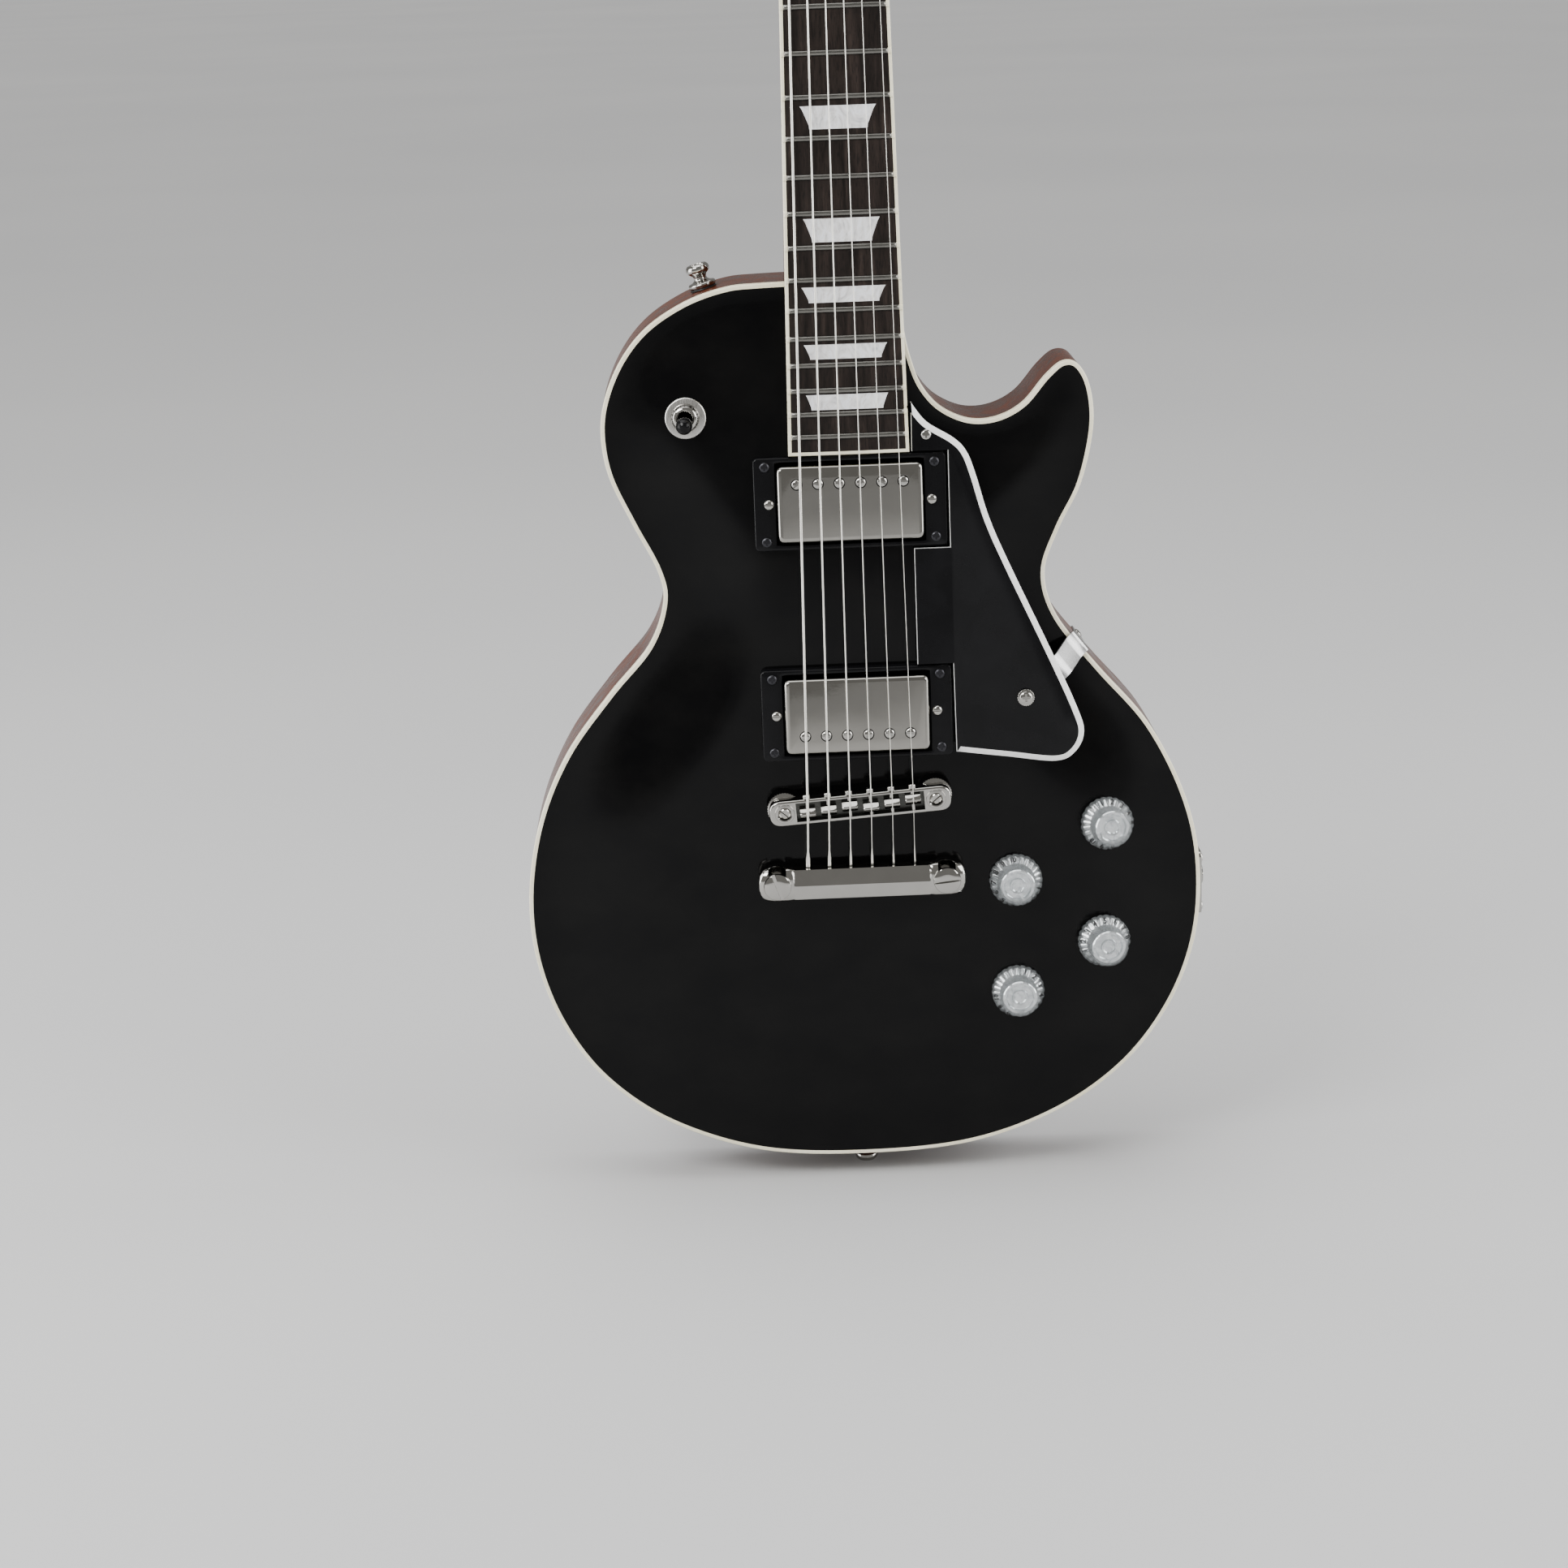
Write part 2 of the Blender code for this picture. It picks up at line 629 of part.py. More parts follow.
def make_strap_buttons():
    length = BUTTON_LENGTH
    profile = [(0, length), (4.6, length), (5.6, length - 1.2), (5.8, length - 2.4),
               (5.0, length - 4.2), (3.4, length - 5.2), (3.0, 5.6), (3.6, 4.2), (6.1, 3.4),
               (6.7, 2.6), (6.4, 1.2), (5.8, 0.6), (0, 0.6)]
    turned_object("end_strap_button", profile, SATIN_CHROME, place=(0, 0, BUTTON_LENGTH),
                  rotation=(math.pi, 0, 0), sides=14)
    x, z = SHOULDER_BUTTON
    turned_object("shoulder_strap_button", profile, SATIN_CHROME,
                  place=(x, 0, z + SADDLE_Z), rotation=(0, -SHOULDER_BUTTON_LEAN, 0), sides=14)


# ---------------------------------------------------------------- neck
def neck_section(s_at, half_width, top, bottom, power):
    """A D-shaped section, flat under the fingerboard; s_at(depth) gives the station."""
    points = []
    count = 12
    for i in range(count + 1):
        angle = math.pi * i / count
        across, down = math.cos(angle), math.sin(angle)
        x = half_width * math.copysign(abs(across) ** (2 / power), across)
        y = top + (bottom - top) * abs(down) ** (2 / power)
        points.append((x, y, s_at(y)))
    return points


def make_neck():
    heel_s = along_neck(HEEL_Z + GAP, 0)
    under_board = BOARD_THICKNESS + GAP / 2
    sections = [neck_section(lambda y: along_neck(HEEL_Z + GAP, y), board_width(heel_s) / 2,
                             under_board, HEEL_DEPTH, 5.0)]
    for distance, bottom, power in NECK_PROFILE:
        s = heel_s + distance
        sections.append(neck_section(lambda y, s=s: s, board_width(s) / 2, under_board,
                                     bottom, power))
    for s, top, bottom, power in HEAD_TRANSITION:
        sections.append(neck_section(lambda y, s=s: s, NUT_WIDTH / 2, top, bottom, power))
    neck = add_object("neck", loft_mesh("neck", sections), MAHOGANY, NECK_FRAME)
    half = TENON_WIDTH / 2
    tenon = []
    for z in (TENON_END_Z, HEEL_Z + 6):
        floor = neck_y(TENON_FLOOR_Y, z)
        tenon.append([(x, y, along_neck(z, y)) for x, y in
                      ((-half, under_board), (half, under_board), (half, floor), (-half, floor))])
    boolean(neck, loft_mesh("tenon", tenon), "UNION", NECK_FRAME)
    head = plate_mesh("head", [head_outline()], VENEER_THICKNESS + GAP,
                      VENEER_THICKNESS + GAP + HEAD_THICKNESS)
    boolean(neck, head, "UNION", HEAD_FRAME)
    channel = box_mesh("rod_channel", (-ROD_CHANNEL / 2, 2, ROD_START - 2),
                       (ROD_CHANNEL / 2, ROD_DEPTH + ROD_CHANNEL / 2 + 0.5, ROD_END + 2))
    boolean(neck, channel, "DIFFERENCE", NECK_FRAME)
    boolean(neck, tuner_holes(), "DIFFERENCE", HEAD_FRAME)


def head_outline():
    half = catmull_rom(HEAD_HALF_OUTLINE, 2)
    return [(x, z) for x, z in half] + [(-x, z) for x, z in half[-2::-1]]


def tuner_places():
    """(side name, number, side sign, x, z) of each tuner post in the head's frame."""
    return [(name, number + 1, side, side * TUNER_X[number], TUNER_ROWS[number])
            for name, side in (("bass", -1), ("treble", 1)) for number in range(3)]


def tuner_holes():
    radius = POST_RADIUS + 2 * GAP
    return merged("tuner_holes", [rod_mesh("hole", radius, (x, -5, z), (x, 30, z))
                                  for _, _, _, x, z in tuner_places()])


def make_headstock_trim():
    pocket = rounded_rectangle(9, 22, 2, centre=(0, 15))
    veneer = plate_mesh("headstock_veneer", [head_outline(), pocket], 0, VENEER_THICKNESS)
    thing = add_object("headstock_veneer", veneer, BLACK_LACQUER, HEAD_FRAME)
    boolean(thing, tuner_holes(), "DIFFERENCE", HEAD_FRAME)
    bell = catmull_rom(((0, 2.6), (9, 2.8), (11.5, 6), (10, 13), (6, 23), (0, 32),
                        (-6, 23), (-10, 13), (-11.5, 6), (-9, 2.8)), 2, closed=True)
    cover = plate_mesh("truss_rod_cover", [bell], -GAP - 1.8, -GAP)
    bevel(add_object("truss_rod_cover", cover, BLACK_PLASTIC, HEAD_FRAME), 0.4, 1)


def make_truss_rod():
    nut_radius, rod_radius = 3.0, 2.2
    profile = [(0, ROD_END), (nut_radius, ROD_END), (nut_radius, ROD_END - 11),
               (rod_radius, ROD_END - 11), (rod_radius, ROD_START), (0, ROD_START)]
    turned_object("truss_rod", profile, ((0.3, 0.3, 0.3), 0.4, 1.0), NECK_FRAME,
                  place=(0, ROD_DEPTH, 0), sides=12)


def fret_place(number):
    """Distance of a fret from the saddle line."""
    return SCALE_LENGTH * 2 ** (-number / 12)


def board_section(s, lift):
    half = board_width(s) / 2 - BOARD_BINDING - GAP
    bottom = BOARD_THICKNESS - GAP / 2
    xs = np.linspace(-half, half, 5)
    return ([(-half, bottom, s)] + [(x, radius_drop(x) - lift, s) for x in xs]
            + [(half, bottom, s)])


def make_fingerboard():
    """The board with its frets: each fret is a low ridge that follows the radius."""
    stations = [(BOARD_END_S + BOARD_BINDING + GAP, 0.0)]
    for number in range(FRET_COUNT, 0, -1):
        s = fret_place(number)
        stations += [(s - FRET_WIDTH / 2, 0.0), (s, FRET_HEIGHT), (s + FRET_WIDTH / 2, 0.0)]
    stations.append((SCALE_LENGTH, 0.0))
    sections = [board_section(s, lift) for s, lift in stations]
    add_object("fingerboard", loft_mesh("fingerboard", sections, 30),
               ((0.06, 0.028, 0.016), 0.45, 0.0), NECK_FRAME)


def make_fingerboard_binding():
    loop = [(-BOARD_END_WIDTH / 2, BOARD_END_S), (BOARD_END_WIDTH / 2, BOARD_END_S),
            (NUT_WIDTH / 2, SCALE_LENGTH), (NUT_WIDTH / 2 - BOARD_BINDING, SCALE_LENGTH),
            (BOARD_END_WIDTH / 2 - BOARD_BINDING, BOARD_END_S + BOARD_BINDING),
            (-BOARD_END_WIDTH / 2 + BOARD_BINDING, BOARD_END_S + BOARD_BINDING),
            (-NUT_WIDTH / 2 + BOARD_BINDING, SCALE_LENGTH), (-NUT_WIDTH / 2, SCALE_LENGTH)]
    mesh = plate_mesh("fingerboard_binding", [loop], radius_drop(BOARD_END_WIDTH / 2),
                      BOARD_THICKNESS - GAP / 2)
    add_object("fingerboard_binding", mesh, CREAM, NECK_FRAME)


def make_nut():
    low_s, high_s = SCALE_LENGTH + GAP, SCALE_LENGTH + NUT_THICKNESS
    half = NUT_WIDTH / 2
    nut = add_object("nut", box_mesh("nut", (-half, -NUT_RISE, low_s),
                                     (half, BOARD_THICKNESS - GAP / 2, high_s)),
                     ((0.85, 0.82, 0.72), 0.35, 0.0), NECK_FRAME)
    slots = []
    for x, diameter in zip(string_places(NUT_SPREAD), STRING_DIAMETERS):
        half_slot = diameter / 2 + GAP
        slots.append(box_mesh("slot", (x - half_slot, -NUT_RISE - 1, low_s - 1),
                              (x + half_slot, radius_drop(x) - SLOT_HEIGHT, high_s + 1)))
    boolean(nut, merged("nut_slots", slots), "DIFFERENCE", NECK_FRAME)


# ---------------------------------------------------------------- pickups
def subdivided(loop, pieces=7, longest=10.0):
    """The closed loop with its long straight runs divided into equal pieces."""
    result = []
    for first, second in zip(loop, list(loop[1:]) + [loop[0]]):
        first, second = np.array(first, float), np.array(second, float)
        count = pieces if np.linalg.norm(second - first) > longest else 1
        result += [tuple(first + (second - first) * i / count) for i in range(count)]
    return result


def make_pickup_ring(side):
    """A ring whose underside follows the cap and whose top is parallel to the strings."""
    z, rise = PICKUPS[side], RING_RISES[side]
    hole_size = (COVER_SIZE[0] + 1.2, COVER_SIZE[1] + 2.8)
    outer, hole = (subdivided(rounded_rectangle(*size, 2.5, 2, centre=(0, z)))
                   for size in (RING_SIZE, hole_size))

    def under(place):
        return (place[0], RIM_Y - arch(*place) - 3 * GAP, place[1] + SADDLE_Z)

    def over(place):
        height = rise - (place[1] - z) * math.tan(NECK_ANGLE)
        return (place[0], RIM_Y - height, place[1] + SADDLE_Z)

    loops = [[under(place) for place in outer], [over(place) for place in outer],
             [over(place) for place in hole], [under(place) for place in hole]]
    name = side + "_pickup_ring"
    add_object(name, hoop_mesh(name, loops), BLACK_PLASTIC)


def make_pickup(side):
    """Cover and coil block, parallel to the strings."""
    frame = empty(side + "_pickup_frame", (0, RIM_Y - COVER_RISES[side],
                                           PICKUPS[side] + SADDLE_Z), (-NECK_ANGLE, 0, 0))
    half_x, half_z = COVER_SIZE[0] / 2, COVER_SIZE[1] / 2
    wall, skirt = 0.7, 14.0
    cover = add_object(side + "_pickup_cover",
                       box_mesh("cover", (-half_x, 0, -half_z), (half_x, skirt, half_z)),
                       SATIN_CHROME, frame)
    bevel(cover, 2.0, 2)
    boolean(cover, box_mesh("hollow", (-half_x + wall, wall, -half_z + wall),
                            (half_x - wall, skirt + 5, half_z - wall)), "DIFFERENCE", frame)
    pole_z = POLE_SIDES[side] * POLE_OFFSET
    poles, holes = [], []
    for i in range(6):
        x = (i - 2.5) * POLE_SPACING
        poles.append(rod_mesh("pole", 2.4, (x, -0.5, pole_z), (x, 6, pole_z), sides=8))
        holes.append(rod_mesh("hole", 2.7, (x, -4, pole_z), (x, 4, pole_z), sides=8))
    boolean(cover, merged("pole_holes", holes), "DIFFERENCE", frame)
    block = box_mesh("coil", (-half_x + wall + 0.5, wall + 0.5, -half_z + wall + 0.5),
                     (half_x - wall - 0.5, skirt + 1.5, half_z - wall - 0.5))
    coil = add_object(side + "_pickup_coils", block, BLACK_PLASTIC, frame)
    boolean(coil, merged("poles", poles), "UNION", frame)


# ---------------------------------------------------------------- pickguard
def make_pickguard():
    """A raised guard, parallel to the board, cut round both pickup rings."""
    outer = catmull_rom(((29.8, 190.5), (37, 181), (49.5, 173), (55.5, 166.5), (59.5, 156),
                         (65.5, 135), (74, 114), (94, 69.5), (105.5, 42.5), (108.8, 30),
                         (104.5, 20.5), (95, 16.3), (72, 19.3), (47.2, 22.8)), 3)
    ring_x = RING_SIZE[0] / 2 + 1.0
    neck_x = BOARD_END_WIDTH / 2 + 1.0
    bridge_top = PICKUPS["bridge"] + RING_SIZE[1] / 2 + 1.0
    neck_low, neck_top = (PICKUPS["neck"] + side * (RING_SIZE[1] / 2 + 1.0) for side in (-1, 1))
    inner = [(ring_x, bridge_top), (neck_x, bridge_top), (neck_x, neck_low),
             (ring_x, neck_low), (ring_x, neck_top), (neck_x, neck_top)]
    loop = [(x, along_neck(z, GUARD_DEPTH)) for x, z in list(outer) + inner]
    mesh = plate_mesh("pickguard", [loop], GUARD_DEPTH, GUARD_DEPTH + GUARD_THICKNESS)
    add_object("pickguard", mesh, BLACK_PLASTIC, NECK_FRAME)


def make_pickguard_bracket():
    """A bent strip from under the guard, over the binding and down the side."""
    x, z = BRACKET_PLACE
    turn = math.atan2(BRACKET_OUTWARD[1], BRACKET_OUTWARD[0])
    frame = empty("bracket_frame", (x, RIM_Y, z + SADDLE_Z), (0, -turn, 0))
    path = [(-26, 17.0), (-15, 17.0), (-11.5, 15), (-3.5, 3.6), (-1.2, 1.9), (0.8, 0.9),
            (1.4, -0.8), (1.4, -19)]
    half_width, half_thick = 6.0, 0.55
    direction = [np.array(b, float) - np.array(a, float) for a, b in zip(path, path[1:])]
    direction = [direction[0]] + [a / np.linalg.norm(a) + b / np.linalg.norm(b)
                                  for a, b in zip(direction, direction[1:])] + [direction[-1]]
    sides = ([], [])
    for (u, height), along in zip(path, direction):
        normal = np.array((-along[1], along[0])) / np.linalg.norm(along)
        for side, sign in zip(sides, (1, -1)):
            side.append((u + sign * half_thick * normal[0], height + sign * half_thick * normal[1]))
    profile = sides[0] + sides[1][::-1]
    sections = [[(u, -height, w) for u, height in profile] for w in (-half_width, half_width)]
    add_object("pickguard_bracket", loft_mesh("pickguard_bracket", sections, 50),
               SATIN_CHROME, frame)


# ---------------------------------------------------------------- bridge and tailpiece
def make_bridge():
    frame = empty("bridge_frame", (0, RIM_Y, BRIDGE_Z + SADDLE_Z), (0, -BRIDGE_SLANT, 0))
    outline = rounded_rectangle(88, 12.5, 6.0, 4)
    bridge = add_object("bridge", plate_mesh("bridge", [outline], -BRIDGE_TOP, -BRIDGE_BASE),
                        SATIN_CHROME, frame)
    bevel(bridge, 1.0, 2)
    saddles = []
    for x in string_places(SADDLE_SPREAD):
        crest = SADDLE_CREST - radius_drop(x)
        roof = ((BRIDGE_TOP - 1, -3.8), (BRIDGE_TOP - 1, 3.8), (crest - 1.6, 3.4), (crest, 0.7),
                (crest, -0.7), (crest - 1.6, -3.4))
        saddles.append(loft_mesh("saddle", [[(x + side * 2.9, -height, z) for height, z in roof]
                                            for side in (-1, 1)]))
    boolean(bridge, merged("saddles", saddles), "UNION", frame)
    holes = [rod_mesh("hole", 3.1, (side * BRIDGE_POST_SPACING / 2, -BRIDGE_TOP - 5, 0),
                      (side * BRIDGE_POST_SPACING / 2, 0, 0)) for side in (-1, 1)]
    boolean(bridge, merged("post_holes", holes), "DIFFERENCE", frame)


def make_bridge_posts():
    wheel_top = BRIDGE_BASE - GAP
    depth = STUD_HOLE_FLOOR_Y - RIM_Y - GAP
    profile = [(0, BRIDGE_TOP - 0.3), (2.8, BRIDGE_TOP - 0.3), (2.8, wheel_top), (8.0, wheel_top),
               (8.4, wheel_top - 0.4), (8.4, wheel_top - 2.0), (8.0, wheel_top - 2.4),
               (POST_STUD_RADIUS, wheel_top - 2.4), (POST_STUD_RADIUS, -depth), (0, -depth)]
    for name, side in (("bass", -1), ("treble", 1)):
        x, z = bridge_post_place(side)
        turned_object("bridge_post_" + name, profile, SATIN_CHROME,
                      place=(x, RIM_Y, z + SADDLE_Z), rotation=FACING, sides=14)


def make_tailpiece():
    frame = empty("tailpiece_frame", (0, RIM_Y - TAILPIECE_RISE, TAILPIECE_Z + SADDLE_Z))
    ends = ((50.2, 0.45), (49.2, 0.75), (46.5, 0.94), (42, 1.0))
    stations = [(-x, scale) for x, scale in ends] + [(x, scale) for x, scale in reversed(ends)]
    half_z, half_y = 8.6, 4.9
    sections = []
    for x, scale in stations:
        turns = [2 * math.pi * i / 16 for i in range(16)]
        sections.append([(x, half_y * scale ** 0.5 * math.copysign(abs(math.sin(t)) ** 0.8,
                                                                   math.sin(t)),
                          half_z * scale * math.copysign(abs(math.cos(t)) ** 0.8, math.cos(t)))
                         for t in turns])
    bar = add_object("tailpiece", loft_mesh("tailpiece", sections, 50), SATIN_CHROME, frame)
    hooks = []
    for side in (-1, 1):
        x = side * TAILPIECE_STUD_SPACING / 2
        reach = STUD_WAIST_RADIUS + GAP
        hooks.append(plate_mesh("hook", [[(x - reach, 14), (x - reach, 0)]
                                         + [(x + reach * math.cos(t), reach * math.sin(t))
                                            for t in np.linspace(-math.pi, 0, 9)[1:-1]]
                                         + [(x + reach, 0), (x + reach, 14)]], -8, 8))
    boolean(bar, merged("hooks", hooks), "DIFFERENCE", frame)
    holes = [rod_mesh("hole", 1.6, (x, 0, -20), (x, 0, 20), sides=10)
             for x in string_places(TAIL_SPREAD)]
    boolean(bar, merged("string_holes", holes), "DIFFERENCE", frame)


def make_tailpiece_studs():
    top, bottom = TAILPIECE_RISE + 5.2, TAILPIECE_RISE - 5.2
    depth = STUD_HOLE_FLOOR_Y - RIM_Y - GAP
    profile = [(0, top + 2.2), (5.6, top + 2.2), (6.6, top + 1.4), (6.6, top),
               (STUD_WAIST_RADIUS, top), (STUD_WAIST_RADIUS, bottom), (7.2, bottom),
               (7.2, bottom - 1.4), (BUSHING_RADIUS, bottom - 1.4), (BUSHING_RADIUS, -depth),
               (0, -depth)]
    for name, side in (("bass", -1), ("treble", 1)):
        turned_object("tailpiece_stud_" + name, profile, SATIN_CHROME,
                      place=(side * TAILPIECE_STUD_SPACING / 2, RIM_Y, TAILPIECE_Z + SADDLE_Z),
                      rotation=FACING, sides=14)


# ---------------------------------------------------------------- controls
def make_knobs():
    profile = [(0, KNOB_HEIGHT), (8.6, KNOB_HEIGHT), (9.4, KNOB_HEIGHT - 0.8), (9.9, 5.6),
               (10.6, 4.9), (12.6, 3.6), (KNOB_RADIUS, 2.6), (KNOB_RADIUS, 0),
               (SHAFT_RADIUS + GAP, 0), (SHAFT_RADIUS + GAP, 9.5), (0, 9.5)]
    for name, frame in KNOB_FRAMES.items():
        turned_object("knob_" + name, profile, ((0.75, 0.76, 0.77), 0.12, 0.6), frame, sides=16)


def make_control_plate():
    """The shielding plate under the cap with the four potentiometers and their shafts."""
    front = CAP_Y + 2 * GAP
    loop = inset(CONTROL_CAVITY, 2.5)
    plate = add_object("control_plate", plate_mesh("control_plate", [world_loop(loop)], front,
                                                   front + 1.5), ((0.6, 0.6, 0.6), 0.35, 1.0))
    cans, shafts = [], []
    for name, (x, z) in KNOBS.items():
        frame = KNOB_FRAMES[name]
        under_cap = arch(x, z) + knob_lift(x, z) + (CAP_Y - RIM_Y)
        can = rod_mesh("can", 11.5, (0, 0, -under_cap - 4.5), (0, 0, -under_cap - 14.5), sides=20)
        shaft = rod_mesh("shaft", SHAFT_RADIUS, (0, 0, 9), (0, 0, -under_cap - 8), sides=12)
        for mesh, group in ((can, cans), (shaft, shafts)):
            mesh.transform(frame.matrix_world)
            group.append(mesh)
    boolean(plate, merged("cans", cans), "UNION")
    boolean(plate, merged("shafts", shafts), "UNION")


def make_switch():
    under_cap = arch(*SWITCH_PLACE) + (CAP_Y - RIM_Y)
    shoulder = -under_cap - 5.0
    profile = [(3.6, 4.6), (5.4, 4.6), (5.9, 4.0), (5.9, 2.4), (9.6, 2.2), (9.8, 1.6), (9.8, 1.0),
               (SWITCH_BUSH_RADIUS, 1.0), (SWITCH_BUSH_RADIUS, shoulder), (13.5, shoulder),
               (13.5, shoulder - 8), (3.6, shoulder - 8)]
    turned_object("switch_body", profile, SATIN_CHROME, SWITCH_FRAME, sides=16, bored=True)
    lever = [(0, 17.5), (2.2, 17.2), (3.5, 15.6), (3.9, 13.5), (3.6, 10), (2.9, 8.0), (1.5, 7.6),
             (1.5, -7), (0, -7)]
    turned_object("switch_lever", lever, BLACK_PLASTIC, SWITCH_FRAME,
                  rotation=(SWITCH_REST_TILT, 0, 0), sides=12)


def make_output_jack():
    """A plate on the rim with a threaded barrel; the bore takes a 6.35 mm plug."""
    z = JACK_Z + SADDLE_Z
    half, face = 16.0, JACK_FACE_X + 0.4
    plate = add_object("output_jack", box_mesh("output_jack", (face, -half, z - half),
                                               (face + 1.6, half, z + half)), SATIN_CHROME)
    bevel(plate, 0.5, 1)
    boolean(plate, rod_mesh("barrel", 8.0, (face - 26, 0, z), (face + 4.0, 0, z), sides=18),
            "UNION")
    boolean(plate, rod_mesh("bore", JACK_BORE_RADIUS, (face - 23, 0, z), (face + 8, 0, z),
                            sides=18))


# ---------------------------------------------------------------- tuners and strings
def make_tuners():
    housing_back = HOUSING_FRONT + 11.0
    post = [(0, POST_RISE), (2.7, POST_RISE), (POST_RADIUS, POST_RISE - 0.4),
            (POST_RADIUS, 11), (2.6, 9.5), (2.6, 6), (POST_RADIUS, 4.5),
            (POST_RADIUS, -GEAR_FRONT), (GEAR_RADIUS, -GEAR_FRONT), (GEAR_RADIUS, -GEAR_FRONT - 4),
            (0, -GEAR_FRONT - 4)]
    for name, number, side, x, z in tuner_places():
        label = f"{name}_{number}"
        worm_y = GEAR_FRONT + 2
        housing = box_mesh("housing", (x - 8.5, HOUSING_FRONT, z - 8.5),
                           (x + 8.5, housing_back, z + 12.5))
        housing = add_object("tuner_housing_" + label, housing, SATIN_CHROME, HEAD_FRAME)
        bevel(housing, 1.8, 1)
        boolean(housing, rod_mesh("gear_room", GEAR_RADIUS + 2 * GAP, (x, HOUSING_FRONT - 2, z),
                                  (x, GEAR_FRONT + 4 + GAP, z), sides=16), "DIFFERENCE", HEAD_FRAME)
        boolean(housing, rod_mesh("worm_bore", WORM_RADIUS + GAP,
                                  (x - side * 6, worm_y, z + WORM_OFFSET),
                                  (x + side * 20, worm_y, z + WORM_OFFSET), sides=12),
                "DIFFERENCE", HEAD_FRAME)
        turned_object("tuner_post_" + label, post, SATIN_CHROME, HEAD_FRAME, (x, 0, z), FACING, 10)
        cage = box_mesh("button", (-7.5, -5.5, -11.5), (7.5, 5.5, 11.5))
        button = add_object("tuner_button_" + label, cage, SATIN_CHROME, HEAD_FRAME,
                            (x + side * SHAFT_LENGTH, worm_y, z + WORM_OFFSET))
        soft = button.modifiers.new("Soft", "SUBSURF")
        soft.levels = soft.render_levels = 1
        boolean(button, rod_mesh("shaft", WORM_RADIUS, (x - side * 5, worm_y, z + WORM_OFFSET),
                                 (x + side * (SHAFT_LENGTH - 2), worm_y, z + WORM_OFFSET),
                                 sides=10), "UNION", HEAD_FRAME)


def string_route(index):
    """World points of one string, from the tailpiece to its turns on the tuner post."""
    radius = STRING_DIAMETERS[index] / 2
    tail_x = string_places(TAIL_SPREAD)[index]
    saddle_x = string_places(SADDLE_SPREAD)[index]
    nut_x = string_places(NUT_SPREAD)[index]
    tail_y = RIM_Y - TAILPIECE_RISE
    crest_y = RIM_Y - SADDLE_CREST + radius_drop(saddle_x) - GAP - radius
    crest_z = BRIDGE_Z + saddle_x * math.tan(BRIDGE_SLANT)
    points = [Vector((tail_x, tail_y, TAILPIECE_Z - 8 + SADDLE_Z)),
              Vector((tail_x, tail_y, TAILPIECE_Z + 8 + SADDLE_Z)),
              Vector((saddle_x, crest_y, crest_z - 0.7 + SADDLE_Z)),
              Vector((saddle_x, crest_y, crest_z + 0.7 + SADDLE_Z))]
    points = [point * MM for point in points]
    over_nut = radius_drop(nut_x) - SLOT_HEIGHT - GAP - radius
    for s in (SCALE_LENGTH, SCALE_LENGTH + NUT_THICKNESS):
        points.append(NECK_FRAME.matrix_world @ (Vector((nut_x, over_nut, s)) * MM))
    side = -1 if index < 3 else 1
    number = index if index < 3 else 5 - index
    x, z = side * TUNER_X[number], TUNER_ROWS[number]
    coil = POST_RADIUS + GAP + radius + 0.05
    pitch = 2 * radius + 0.25
    steps = 10
    for i in range(steps + 1):
        turn = 1.2 * 2 * math.pi * i / steps
        place = Vector((x - side * coil * math.cos(turn), -8.2 + pitch * turn / (2 * math.pi),
                        z + coil * math.sin(turn)))
        points.append(HEAD_FRAME.matrix_world @ (place * MM))
    return points


def make_strings():
    for index, diameter in enumerate(STRING_DIAMETERS):
        curve = bpy.data.curves.new("string", "CURVE")
        curve.dimensions = "3D"
        curve.bevel_depth = diameter * MM / 2
        curve.bevel_resolution = 1
        curve.use_fill_caps = True
        curve.render_resolution_u = 0
        route = string_route(index)
        spline = curve.splines.new("POLY")
        spline.points.add(len(route) - 1)
        for point, place in zip(spline.points, route):
            point.co = (*place, 1)
        add_object(f"string_{6 - index}", curve, ((0.7, 0.68, 0.62), 0.3, 1.0))


# ---------------------------------------------------------------- build
clear_scene()
PARTS = make_collection("electric_guitar")
CUTTERS = make_collection("cutters")
NECK_FRAME = empty("neck_frame", (0, NECK_ORIGIN_Y, SADDLE_Z), (-NECK_ANGLE, 0, 0))
HEAD_FRAME = empty("head_frame", (0, 3.5, SCALE_LENGTH + NUT_THICKNESS + 2 * GAP),
                   (-HEAD_ANGLE, 0, 0), NECK_FRAME)
KNOB_FRAMES = {name: empty("knob_frame_" + name, on_cap(x, z, knob_lift(x, z)),
                           cap_lean(x, z, KNOB_LEAN)) for name, (x, z) in KNOBS.items()}
SWITCH_FRAME = empty("switch_frame", on_cap(*SWITCH_PLACE), cap_lean(*SWITCH_PLACE))
bpy.context.view_layer.update()

make_body_back()
make_body_top()
make_body_binding()
make_rear_covers()
make_strap_buttons()
make_neck()
make_headstock_trim()
make_truss_rod()
make_fingerboard()
make_fingerboard_binding()
make_nut()
for pickup_side in PICKUPS:
    make_pickup_ring(pickup_side)
    make_pickup(pickup_side)
make_pickguard()
make_pickguard_bracket()
make_bridge()
make_bridge_posts()
make_tailpiece()
make_tailpiece_studs()
make_knobs()
make_control_plate()
make_switch()
make_output_jack()
make_tuners()
make_strings()
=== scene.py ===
"""Looks of a single-cutaway solid-body electric guitar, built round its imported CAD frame.

Lengths are in millimetres until piece() turns them into metres. Body places are (x, z) with z
measured from the saddle line; +X is the treble side, -Y the front and +Z the headstock end.
"""
import json
from functools import cache
from math import atan2, copysign, cos, hypot, pi, radians, sin, tan

